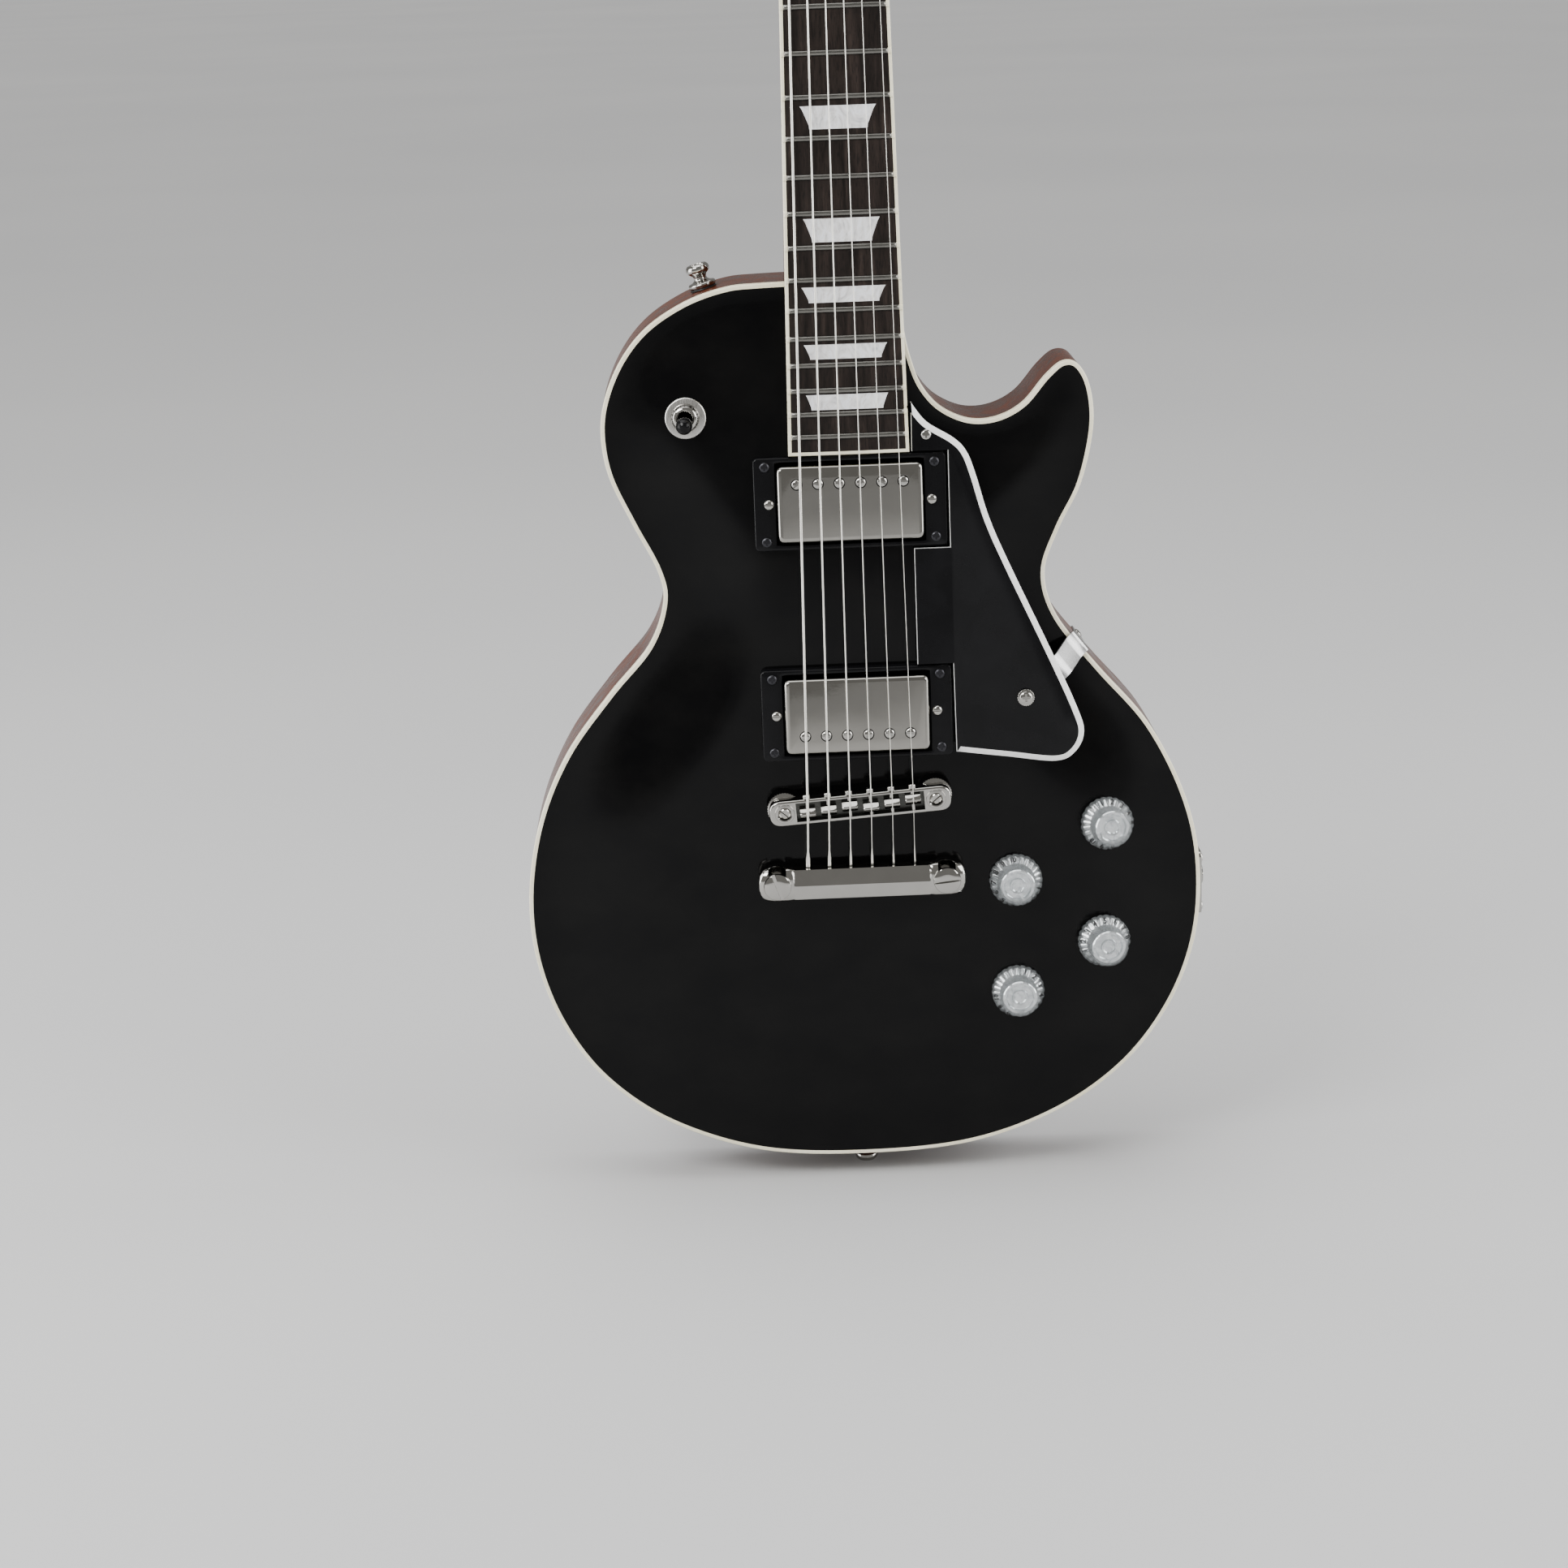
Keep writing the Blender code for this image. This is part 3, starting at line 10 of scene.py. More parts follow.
import bmesh
import bpy
import numpy as np
from mathutils import Matrix, Vector
from mathutils.geometry import delaunay_2d_cdt


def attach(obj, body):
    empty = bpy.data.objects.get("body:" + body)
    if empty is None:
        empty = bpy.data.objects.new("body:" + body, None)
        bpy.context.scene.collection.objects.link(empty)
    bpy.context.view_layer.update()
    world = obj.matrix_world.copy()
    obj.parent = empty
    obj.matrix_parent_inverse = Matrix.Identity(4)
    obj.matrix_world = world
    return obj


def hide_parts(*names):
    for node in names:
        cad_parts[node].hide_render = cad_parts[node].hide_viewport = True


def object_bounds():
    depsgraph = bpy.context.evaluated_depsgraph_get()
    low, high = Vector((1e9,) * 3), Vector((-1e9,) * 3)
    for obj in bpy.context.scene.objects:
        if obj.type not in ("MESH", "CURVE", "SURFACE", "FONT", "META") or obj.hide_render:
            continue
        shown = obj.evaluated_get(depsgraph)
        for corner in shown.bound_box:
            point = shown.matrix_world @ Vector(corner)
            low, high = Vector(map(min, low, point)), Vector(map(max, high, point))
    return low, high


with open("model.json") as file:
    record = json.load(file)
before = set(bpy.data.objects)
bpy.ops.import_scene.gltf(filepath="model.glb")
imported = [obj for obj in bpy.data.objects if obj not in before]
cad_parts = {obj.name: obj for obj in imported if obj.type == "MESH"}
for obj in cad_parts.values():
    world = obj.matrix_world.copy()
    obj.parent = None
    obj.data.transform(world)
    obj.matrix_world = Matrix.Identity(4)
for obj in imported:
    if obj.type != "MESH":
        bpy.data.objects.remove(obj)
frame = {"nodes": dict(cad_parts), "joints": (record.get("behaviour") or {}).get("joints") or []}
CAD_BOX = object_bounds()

MM = 0.001
GAP = 0.3
SEAM = 0.01                 # keeps touching shapes from sharing a face

# ---------------------------------------------------------------- body
SADDLE_Z = 203.0
RIM_Y = -24.0
BACK_Y = 24.0
CAP_Y = -11.5
BINDING_WIDTH = 2.0
BINDING_DEPTH = 5.0
ARCH_HEIGHT = 12.0
ARCH_START = 4.0
ARCH_REACH = 62.0
CAP_GRID = 3.6              # spacing of the cap's surface points
HEEL_Z = 247.5
BODY_OUTLINE = (
    (-40, 247.1), (-55.8, 245.8), (-74.5, 239.8), (-93, 228.5), (-106, 213.5),
    (-114.5, 195), (-117, 178), (-114, 158), (-104, 135), (-93, 112), (-91, 96), (-99, 75),
    (-119, 52), (-141, 23), (-156, -10), (-163.2, -47), (-161.4, -82), (-150.4, -115.7),
    (-130, -146), (-98, -170.5), (-53, -187), (0, -191), (53, -187), (97, -171.5),
    (131, -147), (154, -115), (166, -80), (167.5, -42), (160, -8), (143, 27), (119, 56),
    (99, 82), (93, 104), (100, 125), (111, 147), (117, 173), (116, 192), (110.5, 203.5),
    (103, 205.3), (94.6, 198.8), (83.7, 186.4), (71.2, 180.1), (57.9, 179.7), (44.7, 186),
    (36.1, 196.2), (31.5, 208), (28.5, 221), (27.5, 235), (26, 243.5), (19, 247.5),
    (-12, 247.5),
)
CONTROL_CAVITY_POINTS = ((60, -45), (76, -10), (105, 2), (131, -10), (137, -50),
                         (131, -90), (110, -115), (80, -121), (58, -101))
SWITCH_CAVITY_RADIUS = 19.0
COVER_THICKNESS = 2.0
COVER_LEDGE = 5.0
BORE_DEPTH = 45.0

# ---------------------------------------------------------------- neck
SCALE_LENGTH = 628.65
FRET_COUNT = 22
NECK_ANGLE = radians(4.5)
NUT_WIDTH = 43.0
BOARD_LENGTH = 461.0
BOARD_END_WIDTH = 57.2
BOARD_THICKNESS = 6.0
BOARD_RADIUS = 305.0
BOARD_END_RISE = 13.0
BOARD_BINDING = 1.6
FRET_WIDTH = 2.5
FRET_HEIGHT = 1.1
NUT_THICKNESS = 5.0
NUT_RISE = 1.7
SLOT_HEIGHT = 0.7
TENON_WIDTH = 38.0
TENON_END_Z = 170.5
TENON_FLOOR_Y = 8.0
ROD_CHANNEL = ((-3.2, 2, 203), (3.2, 15, 654))
HEEL_DEPTH = 50.0
NECK_PROFILE = (            # distance from the heel, depth, squareness
    (0, 50, 5.0), (14, 47.5, 4.5), (28, 39, 3.4), (42, 30, 2.7), (58, 25, 2.3),
    (90, 23.2, 2.1), (200, 22.5, 2.1), (300, 21.6, 2.1), (376, 20.8, 2.2),
)
HEAD_TRANSITION = ((636, 6.15, 21.0, 2.4), (646, 8.8, 23.0, 2.8), (662, 13.0, 25.8, 3.2))
HEAD_ANGLE = radians(14.0)
HEAD_THICKNESS = 14.0
VENEER_THICKNESS = 1.5
HEAD_HALF_OUTLINE = (
    (21.5, 0), (22.5, 8), (28, 20), (35, 34), (37, 60), (38.5, 100), (40.5, 140),
    (40, 160), (34, 174), (18, 181), (0, 183),
)
BOARD_END_S = SCALE_LENGTH - BOARD_LENGTH
NECK_ORIGIN_Y = RIM_Y - BOARD_END_RISE - BOARD_END_S * sin(NECK_ANGLE)
INLAYS = {                  # fret: wide edge, narrow edge, height
    3: (31, 23, 17.8), 5: (32, 24, 15.9), 7: (33, 25, 14.2), 9: (34.5, 26, 12.6),
    12: (35.4, 27, 10.6), 15: (35.8, 28, 10.9), 17: (39.5, 33, 7.2),
    19: (39.2, 33.5, 6.8), 21: (38.8, 33.8, 7.1),
}

# ---------------------------------------------------------------- fittings
PICKUPS = {"neck": 144.3, "bridge": 42.8}
RING_RISES = {"neck": 12.4, "bridge": 19.5}
COVER_RISES = {"neck": 15.0, "bridge": 23.2}
POLE_SIDES = {"neck": 1, "bridge": -1}
POLE_OFFSET = 9.5
POLE_SPACING = 10.1
COVER_SIZE = (69.5, 36.5)
COVER_CORNER = 3.4
COVER_DEPTH = 14.0
COVER_WALL = 0.7
POLE_HOLE_RADIUS = 2.75
RING_SIZE = (91.5, 44.0)
RING_OPENING = (COVER_SIZE[0] + 1.2, COVER_SIZE[1] + 2.8)
RING_CORNER = 2.6
RING_SCREWS = (40.2, 17.8)
HEIGHT_SCREW_X = 38.6
STRING_DIAMETERS = (1.17, 0.91, 0.66, 0.46, 0.35, 0.28)
WOUND_STRINGS = 3
SADDLE_SPREAD = 51.0
NUT_SPREAD = 35.5
TAIL_SPREAD = 52.0
SADDLE_CREST = 29.6
SADDLE_OFFSETS = (-1.0, -0.2, 0.7, -0.9, 0.0, 0.9)
BRIDGE_SLANT = radians(3.6)
BRIDGE_POST_SPACING = 73.2
BRIDGE_Z = -1.6
BRIDGE_TOP = 26.8
BRIDGE_BASE = 19.0
BRIDGE_SIZE = (88, 12.5)
TROUGH_SIZE = (62.0, 9.4)
TROUGH_DEPTH = 4.2
POST_STUD_RADIUS = 3.0
STUD_HOLE_FLOOR_Y = 6.0
TAILPIECE_Z = -41.0
TAILPIECE_STUD_SPACING = 82.4
TAILPIECE_RISE = 19.6
BUSHING_RADIUS = 5.6
STUD_WAIST_RADIUS = 4.0
GUARD_DEPTH = 1.0
GUARD_THICKNESS = 2.3
GUARD_BEVEL = 2.8
GUARD_BREAK = 0.25          # bevel on the edges beside the pickups
BRACKET_PLACE = (108.7, 69.3)
BRACKET_OUTWARD = (0.79, 0.61)
KNOB_HEIGHT = 14.5
POT_SHAFT_HOLE = 3.6
NUMERAL_STEP = 27           # degrees between the numerals
SWITCH_PLACE = (-76.4, 186.0)
SWITCH_REST_TILT = radians(12.0)
SWITCH_BUSH_RADIUS = 5.8
JACK_Z = -58.0
JACK_FACE_X = 168.0
JACK_HOLE_RADIUS = 10.5
JACK_BORE_RADIUS = 3.4
JACK_PLATE_SIZE = 32.0
JACK_PLATE_THICKNESS = 1.6
SHOULDER_BUTTON = (-65.5, 243.2)
SHOULDER_BUTTON_LEAN = radians(15.0)
BUTTON_LENGTH = 12.0
TUNER_ROWS = (42.0, 88.0, 134.0)
TUNER_X = (25.5, 27.0, 28.5)
POST_RADIUS = 3.0
POST_RISE = 15.0
GEAR_RADIUS = 5.4
WORM_RADIUS = 2.2
WORM_OFFSET = 8.0
SHAFT_LENGTH = 24.0
HOUSING_FRONT = VENEER_THICKNESS + HEAD_THICKNESS + 2 * GAP
GEAR_FRONT = HOUSING_FRONT + 2.5

# ---------------------------------------------------------------- studio, in metres
LIT_POINT = Vector((0, 0, 0.3))
LIGHTS = (                  # name, place, size, power
    ("key", (-1.7, -1.9, 2.4), (1.6, 1.1), 85),
    ("fill", (2.1, -1.5, 1.5), (1.2, 1.6), 34),
    ("rim_left", (-2.0, -0.25, 0.8), (1.3, 1.8), 46),
    ("rim_right", (2.0, -0.25, 0.8), (1.3, 1.8), 42),
)
OVERHEAD_ENERGY = 2.4
WORLD_COLOUR = (1.0, 0.98, 0.95, 1)
WORLD_STRENGTH = 0.32
CAMERA_PLACE = (-0.0603, -1.545, 0.6241)
CAMERA_ROTATION = (1.30291, 0.03436, -0.02542)
CAMERA_LENS = 74.116


# ---------------------------------------------------------------- frames
def shift(x=0.0, y=0.0, z=0.0):
    return Matrix.Translation((x, y, z))


def turn(angle, axis):
    return Matrix.Rotation(angle, 4, axis)


FACING = turn(radians(90), "X")            # local Z faces the player
BACKWARD = turn(radians(-90), "X")         # local Z faces the back
SIDEWAYS = turn(radians(90), "Y")          # local Z points to the treble side
BODY = shift(0, RIM_Y, SADDLE_Z)
NECK = shift(0, NECK_ORIGIN_Y, SADDLE_Z) @ turn(-NECK_ANGLE, "X")
HEAD = NECK @ shift(0, 3.5, SCALE_LENGTH + NUT_THICKNESS + 2 * GAP) @ turn(-HEAD_ANGLE, "X")
BRIDGE = shift(0, RIM_Y, BRIDGE_Z + SADDLE_Z) @ turn(-BRIDGE_SLANT, "Y")
TAILPIECE = shift(0, RIM_Y - TAILPIECE_RISE, TAILPIECE_Z + SADDLE_Z)


# ---------------------------------------------------------------- curves and outlines
def catmull_rom(points, steps, closed=False):
    points = [np.array(point, float) for point in points]
    count = len(points)
    result = []
    for i in range(count if closed else count - 1):
        if closed:
            a, b, c, d = (points[(i + k) % count] for k in (-1, 0, 1, 2))
        else:
            a, b, c, d = (points[min(max(i + k, 0), count - 1)] for k in (-1, 0, 1, 2))
        for step in range(steps):
            t = step / steps
            result.append(0.5 * (2 * b + (c - a) * t + (2 * a - 5 * b + 4 * c - d) * t ** 2
                                 + (3 * b - a - 3 * c + d) * t ** 3))
    if not closed:
        result.append(points[-1])
    return np.array(result)


def inset(loop, distance):
    """Moves a closed loop inward along its normals; distance may differ by point."""
    loop = np.array(loop, float)
    following, previous = np.roll(loop, -1, axis=0), np.roll(loop, 1, axis=0)
    tangent = following - previous
    tangent /= np.linalg.norm(tangent, axis=1)[:, None]
    normal = np.stack([-tangent[:, 1], tangent[:, 0]], axis=1)
    area = np.sum(loop[:, 0] * following[:, 1] - following[:, 0] * loop[:, 1])
    amount = np.broadcast_to(distance, (len(loop),))[:, None]
    return loop + normal * amount * (1 if area > 0 else -1)


def fillet(points, radius, steps=4, closed=False):
    """Rounds the corners of a line of points of any dimension."""
    points = [np.array(point, float) for point in points]
    count = len(points)
    result = []
    for i, corner in enumerate(points):
        if not closed and i in (0, count - 1):
            result.append(corner)
            continue
        before, after = points[i - 1] - corner, points[(i + 1) % count] - corner
        reach_before, reach_after = np.linalg.norm(before), np.linalg.norm(after)
        reach = min(radius, 0.48 * reach_before, 0.48 * reach_after)
        start, end = corner + before / reach_before * reach, corner + after / reach_after * reach
        for k in range(steps + 1):
            t = k / steps
            result.append(start * (1 - t) ** 2 + 2 * corner * t * (1 - t) + end * t * t)
    return result


def rectangle(width, height, radius, centre=(0, 0), steps=6):
    x, z = width / 2, height / 2
    loop = fillet(((x, z), (-x, z), (-x, -z), (x, -z)), radius, steps, closed=True)
    return [(px + centre[0], pz + centre[1]) for px, pz in loop]


def circle(radius, centre=(0, 0), sides=48):
    turns = [2 * pi * i / sides for i in range(sides)]
    return [(centre[0] + radius * cos(t), centre[1] + radius * sin(t)) for t in turns]


def knurled(first, second, sides):
    """A circle whose points lie on two radii in turn."""
    turns = ((second if i % 2 else first, 2 * pi * i / sides) for i in range(sides))
    return [(radius * cos(t), radius * sin(t)) for radius, t in turns]


def hexagon(radius, start=0.0):
    return [(radius * cos(t), radius * sin(t))
            for t in (pi * i / 3 + start for i in range(6))]


def divided(loop, longest=3.0):
    """The closed loop with its long runs divided."""
    result = []
    for first, second in zip(loop, list(loop[1:]) + [loop[0]]):
        first, second = np.array(first, float), np.array(second, float)
        count = max(1, int(np.linalg.norm(second - first) / longest))
        result += [tuple(first + (second - first) * i / count) for i in range(count)]
    return result


OUTLINE = catmull_rom(BODY_OUTLINE, 8, closed=True)
CONTROL_CAVITY = catmull_rom(CONTROL_CAVITY_POINTS, 10, closed=True)


# ---------------------------------------------------------------- the carved cap
def rim_distance(x, z):
    """Smooth distances from the rim of arrays of places."""
    step = np.linalg.norm(np.roll(OUTLINE, -1, axis=0) - OUTLINE, axis=1)
    x, z = np.atleast_1d(x).astype(float), np.atleast_1d(z).astype(float)
    square = ((OUTLINE[None, :, 0] - x[:, None]) ** 2 + (OUTLINE[None, :, 1] - z[:, None]) ** 2)
    return (2 / pi * np.sum(step / np.maximum(square, 1e-9) ** 2, axis=1)) ** (-1 / 3)


def arch_of(x, z):
    """Heights of the carved cap above the rim plane, for arrays of places."""
    x, z = np.atleast_1d(x).astype(float), np.atleast_1d(z).astype(float)
    t = np.clip((rim_distance(x, z) - ARCH_START) / (ARCH_REACH - ARCH_START), 0.0, 1.0)
    dome = ARCH_HEIGHT * t * t * (3 - 2 * t)
    seat = (BOARD_END_RISE - BOARD_THICKNESS - GAP
            + (BOARD_END_S * cos(NECK_ANGLE) - z) * tan(NECK_ANGLE))
    width = 2.0
    overlap = np.maximum(width - np.abs(dome - seat), 0.0) / width
    return np.maximum(np.minimum(dome, seat) - overlap * overlap * width / 4, 0.0)


def arch(x, z):
    return float(arch_of(x, z)[0])


def cap_frame(x, z, lift=0.0):
    """A frame on the cap, its local Z along the outward normal."""
    step = 4.0
    slope_x = (arch(x + step, z) - arch(x - step, z)) / (2 * step)
    slope_z = (arch(x, z + step) - arch(x, z - step)) / (2 * step)
    normal = Vector((-slope_x, -1.0, -slope_z)).normalized()
    place = shift(x, RIM_Y - arch(x, z) - lift, z + SADDLE_Z)
    return place @ normal.to_track_quat("Z", "Y").to_matrix().to_4x4()


def board_width(s):
    return NUT_WIDTH + (BOARD_END_WIDTH - NUT_WIDTH) * (SCALE_LENGTH - s) / BOARD_LENGTH


def radius_drop(x):
    return x * x / (2 * BOARD_RADIUS)


def string_places(spread):
    return [spread * (i / 5 - 0.5) for i in range(6)]


def fret_place(number):
    return SCALE_LENGTH * 2 ** (-number / 12)


def inlay_place(fret):
    return (fret_place(fret) + fret_place(fret - 1)) / 2


def along_neck(z, depth):
    return (z + depth * sin(NECK_ANGLE)) / cos(NECK_ANGLE)


def neck_y(y, z):
    return (y - NECK_ORIGIN_Y) * cos(NECK_ANGLE) - z * sin(NECK_ANGLE)


# ---------------------------------------------------------------- meshes
def new_mesh(bm):
    bmesh.ops.recalc_face_normals(bm, faces=bm.faces)
    mesh = bpy.data.meshes.new("shape")
    bm.to_mesh(mesh)
    bm.free()
    return mesh


def ring_faces(bm, first, second):
    for i in range(max(len(first), len(second))):
        j = (i + 1) % max(len(first), len(second))
        if len(first) == 1:
            bm.faces.new((first[0], second[j], second[i]))
        elif len(second) == 1:
            bm.faces.new((first[i], first[j], second[0]))
        else:
            bm.faces.new((first[i], first[j], second[j], second[i]))


def lathe(profile, sides=48, closed=False, edge=0.0):
    """A turned shape about Z from (radius, height) points, its corners rounded by edge."""
    if edge:
        profile = fillet(profile, edge, 3, closed)
    bm = bmesh.new()
    rings = []
    for radius, height in profile:
        if radius < 1e-6:
            rings.append([bm.verts.new((0, 0, height))])
        else:
            rings.append([bm.verts.new((x, y, height)) for x, y in circle(radius, (0, 0), sides)])
    for first, second in zip(rings, rings[1:]):
        ring_faces(bm, first, second)
    if closed:
        ring_faces(bm, rings[-1], rings[0])
    return new_mesh(bm)


def loft(sections, hoop=False):
    """Joins equal closed sections of points; a hoop also joins the last to the first."""
    bm = bmesh.new()
    rings = [[bm.verts.new(Vector(point)) for point in section] for section in sections]
    for first, second in zip(rings, rings[1:]):
        ring_faces(bm, first, second)
    if hoop:
        ring_faces(bm, rings[-1], rings[0])
    else:
        bm.faces.new(rings[0])
        bm.faces.new(rings[-1])
    return new_mesh(bm)


def slab(loop, front, back, edge=0.0, back_edge=None, steps=4, share=1.0):
    """A plate of an (x, z) outline between two depths, with rounded edges.

    share may give each point of the outline its part of the rounding.
    """
    back_edge = edge if back_edge is None else back_edge
    levels = []
    for radius, depth, inward in ((edge, front, 1), (back_edge, back, -1)):
        side = []
        for k in range(steps + 1 if radius else 1):
            angle = pi / 2 * k / steps
            side.append((radius * (1 - sin(angle)),
                         depth + inward * radius * (1 - cos(angle))))
        levels += side if inward == 1 else side[::-1]
    return loft([[(x, depth, z) for x, z in inset(loop, distance * share)]
                 for distance, depth in levels])


def box(low, high, edge=0.0, segments=3):
    bm = bmesh.new()
    bmesh.ops.create_cube(bm, size=1.0)
    bmesh.ops.scale(bm, verts=bm.verts, vec=Vector(high) - Vector(low))
    bmesh.ops.translate(bm, verts=bm.verts, vec=(Vector(high) + Vector(low)) / 2)
    if edge:
        bmesh.ops.bevel(bm, geom=list(bm.edges), offset=edge, segments=segments, profile=0.5,
                        affect="EDGES")
    return new_mesh(bm)


def plate(loop, low, high, **options):
    """A slab that lies in the XY plane, from low to high on Z."""
    return placed(slab(loop, -high, -low, **options), BACKWARD)


def add(name, data, place=(0, 0, 0), rotation=(0, 0, 0)):
    """Puts a new object in the scene."""
    thing = bpy.data.objects.new(name, data)
    thing.location, thing.rotation_euler = place, rotation
    bpy.context.scene.collection.objects.link(thing)
    return thing


def evaluated_mesh(thing):
    """A copy of an object's mesh as its modifiers leave it."""
    bpy.context.view_layer.update()
    graph = bpy.context.evaluated_depsgraph_get()
    return bpy.data.meshes.new_from_object(thing.evaluated_get(graph))


def placed(mesh, *matrices):
    copy = mesh.copy()
    for matrix in reversed(matrices):
        copy.transform(matrix)
    return copy


def rod(radius, start, end, sides=24, edge=0.0):
    start, end = Vector(start), Vector(end)
    span = end - start
    mesh = lathe(((0, 0), (radius, 0), (radius, span.length), (0, span.length)), sides,
                 edge=edge)
    turned = span.to_track_quat("Z", "Y").to_matrix().to_4x4()
    return placed(mesh, Matrix.Translation(start), turned)


def joined(meshes):
    bm = bmesh.new()
    for mesh in meshes:
        bm.from_mesh(mesh)
    result = bpy.data.meshes.new("joined")
    bm.to_mesh(result)
    bm.free()
    return result


def boolean(mesh, tools, operation="DIFFERENCE"):
    """The mesh after a boolean with one tool or several separate ones."""
    tool = joined(tools if isinstance(tools, (list, tuple)) else [tools])
    first, second = add("first", mesh), add("second", tool)
    modifier = first.modifiers.new("Boolean", "BOOLEAN")
    modifier.operation = operation
    modifier.object = second
    result = evaluated_mesh(first)
    for thing in (first, second):
        bpy.data.objects.remove(thing, do_unlink=True)
    return result


def rounded(mesh, width, segments=2, angle=35):
    """Rounds the edges of a mesh that are sharper than an angle in degrees."""
    bm = bmesh.new()
    bm.from_mesh(mesh)
    sharp = [edge for edge in bm.edges if len(edge.link_faces) == 2
             and edge.calc_face_angle(0.0) > radians(angle)]
    bmesh.ops.bevel(bm, geom=sharp, offset=width, segments=segments, profile=0.5,
                    affect="EDGES", clamp_overlap=True)
    return new_mesh(bm)


def tube(points, radii, sides):
    """A round wire through points, with a radius for each."""
    points = [Vector(point) for point in points]
    sections = []
    across = None
    for i, (point, size) in enumerate(zip(points, radii)):
        along = (points[min(i + 1, len(points) - 1)] - points[max(i - 1, 0)]).normalized()
        if across is None:
            across = along.orthogonal().normalized()
        across = (across - along * across.dot(along)).normalized()
        other = along.cross(across)
        sections.append([point + size * (cos(t) * across + sin(t) * other)
                         for t in (2 * pi * k / sides for k in range(sides))])
    return loft(sections)


@cache
def screw_head(radius, height, drive="cross", sides=28):
    """A domed screw head on Z with its underside at 0 and a cut drive."""
    dome = [(0, height), (0.35 * radius, 0.97 * height), (0.65 * radius, 0.84 * height),
            (0.87 * radius, 0.58 * height), (0.98 * radius, 0.25 * height),
            (radius, 0.0), (radius, -0.6), (0, -0.6)]
    width, depth = max(0.34 * radius, 0.45), 0.55 * height
    reach = 1.3 * radius if drive == "line" else 0.62 * radius
    slots = [box((-reach, -width / 2, height - depth), (reach, width / 2, height + 1))]
    if drive == "cross":
        slots.append(box((-width / 2, -reach, height - depth), (width / 2, reach, height + 1)))
        slots = [boolean(slots[0], slots[1], "UNION")]
    return boolean(lathe(dome, sides), slots)


# ---------------------------------------------------------------- materials
class Finish:
    """A procedural material; textures use the part's own coordinates in millimetres."""

    def __init__(self, name, colour, roughness, metallic=0.0, **constants):
        self.material = bpy.data.materials.new(name)
        self.material.use_nodes = True
        self.nodes = self.material.node_tree.nodes
        self.links = self.material.node_tree.links
        self.shader = self.nodes["Principled BSDF"]
        self.shader.inputs["Base Color"].default_value = (*colour, 1)
        self.shader.inputs["Roughness"].default_value = roughness
        self.shader.inputs["Metallic"].default_value = metallic
        for socket, value in constants.items():
            self.shader.inputs[socket.replace("_", " ")].default_value = value
        self.coordinates = self.nodes.new("ShaderNodeTexCoord").outputs["Object"]
        self.material.diffuse_color = (*colour, 1)

    def mapped(self, scale):
        mapping = self.nodes.new("ShaderNodeMapping")
        mapping.inputs["Scale"].default_value = scale
        self.links.new(self.coordinates, mapping.inputs["Vector"])
        return mapping.outputs["Vector"]

    def noise(self, scale, detail=3.0, distortion=0.0, stretch=(1, 1, 1), roughness=0.5):
        """Noise whose features are about 1 / scale millimetres across."""
        node = self.nodes.new("ShaderNodeTexNoise")
        node.inputs["Scale"].default_value = 1000.0 * scale
        node.inputs["Detail"].default_value = detail
        node.inputs["Distortion"].default_value = distortion
        node.inputs["Roughness"].default_value = roughness
        self.links.new(self.mapped(stretch), node.inputs["Vector"])
        return node.outputs["Fac"]

    def wave(self, scale, distortion=0.0, direction="X"):
        node = self.nodes.new("ShaderNodeTexWave")
        node.bands_direction = direction
        node.inputs["Scale"].default_value = 1000.0 * scale
        node.inputs["Distortion"].default_value = distortion
        self.links.new(self.mapped((1, 1, 1)), node.inputs["Vector"])
        return node.outputs["Fac"]

    def ramp(self, value, *stops):
        node = self.nodes.new("ShaderNodeValToRGB")
        elements = node.color_ramp.elements
        while len(elements) < len(stops):
            elements.new(0.5)
        for element, (position, colour) in zip(elements, stops):
            element.position = position
            element.color = (*colour, 1)
        self.links.new(value, node.inputs["Fac"])
        return node.outputs["Color"]

    def blended(self, first, second, factor, mode="MIX"):
        node = self.nodes.new("ShaderNodeMix")
        node.data_type = "RGBA"
        node.blend_type = mode
        for socket, value in ((node.inputs[6], first), (node.inputs[7], second),
                              (node.inputs[0], factor)):
            if hasattr(value, "node"):
                self.links.new(value, socket)
            elif isinstance(value, tuple):
                socket.default_value = (*value, 1)
            else:
                socket.default_value = value
        return node.outputs[2]

    def colour(self, value, *stops):
        """Colours the surface by a value, through a ramp where stops are given."""
        value = self.ramp(value, *stops) if stops else value
        self.links.new(value, self.shader.inputs["Base Color"])
        return self

    def rough(self, value, low, high, start=0.3, end=0.7):
        """Varies the roughness from low to high as a value goes from start to end."""
        node = self.nodes.new("ShaderNodeMapRange")
        for name, number in (("From Min", start), ("From Max", end), ("To Min", low),
                             ("To Max", high)):
            node.inputs[name].default_value = number
        self.links.new(value, node.inputs["Value"])
        self.links.new(node.outputs["Result"], self.shader.inputs["Roughness"])
        return self

    def bump(self, height, depth, strength=1.0):
        """Raises the surface by up to depth millimetres."""
        node = self.nodes.new("ShaderNodeBump")
        node.inputs["Distance"].default_value = depth * MM
        node.inputs["Strength"].default_value = strength
        self.links.new(height, node.inputs["Height"])
        self.links.new(node.outputs["Normal"], self.shader.inputs["Normal"])
        return self


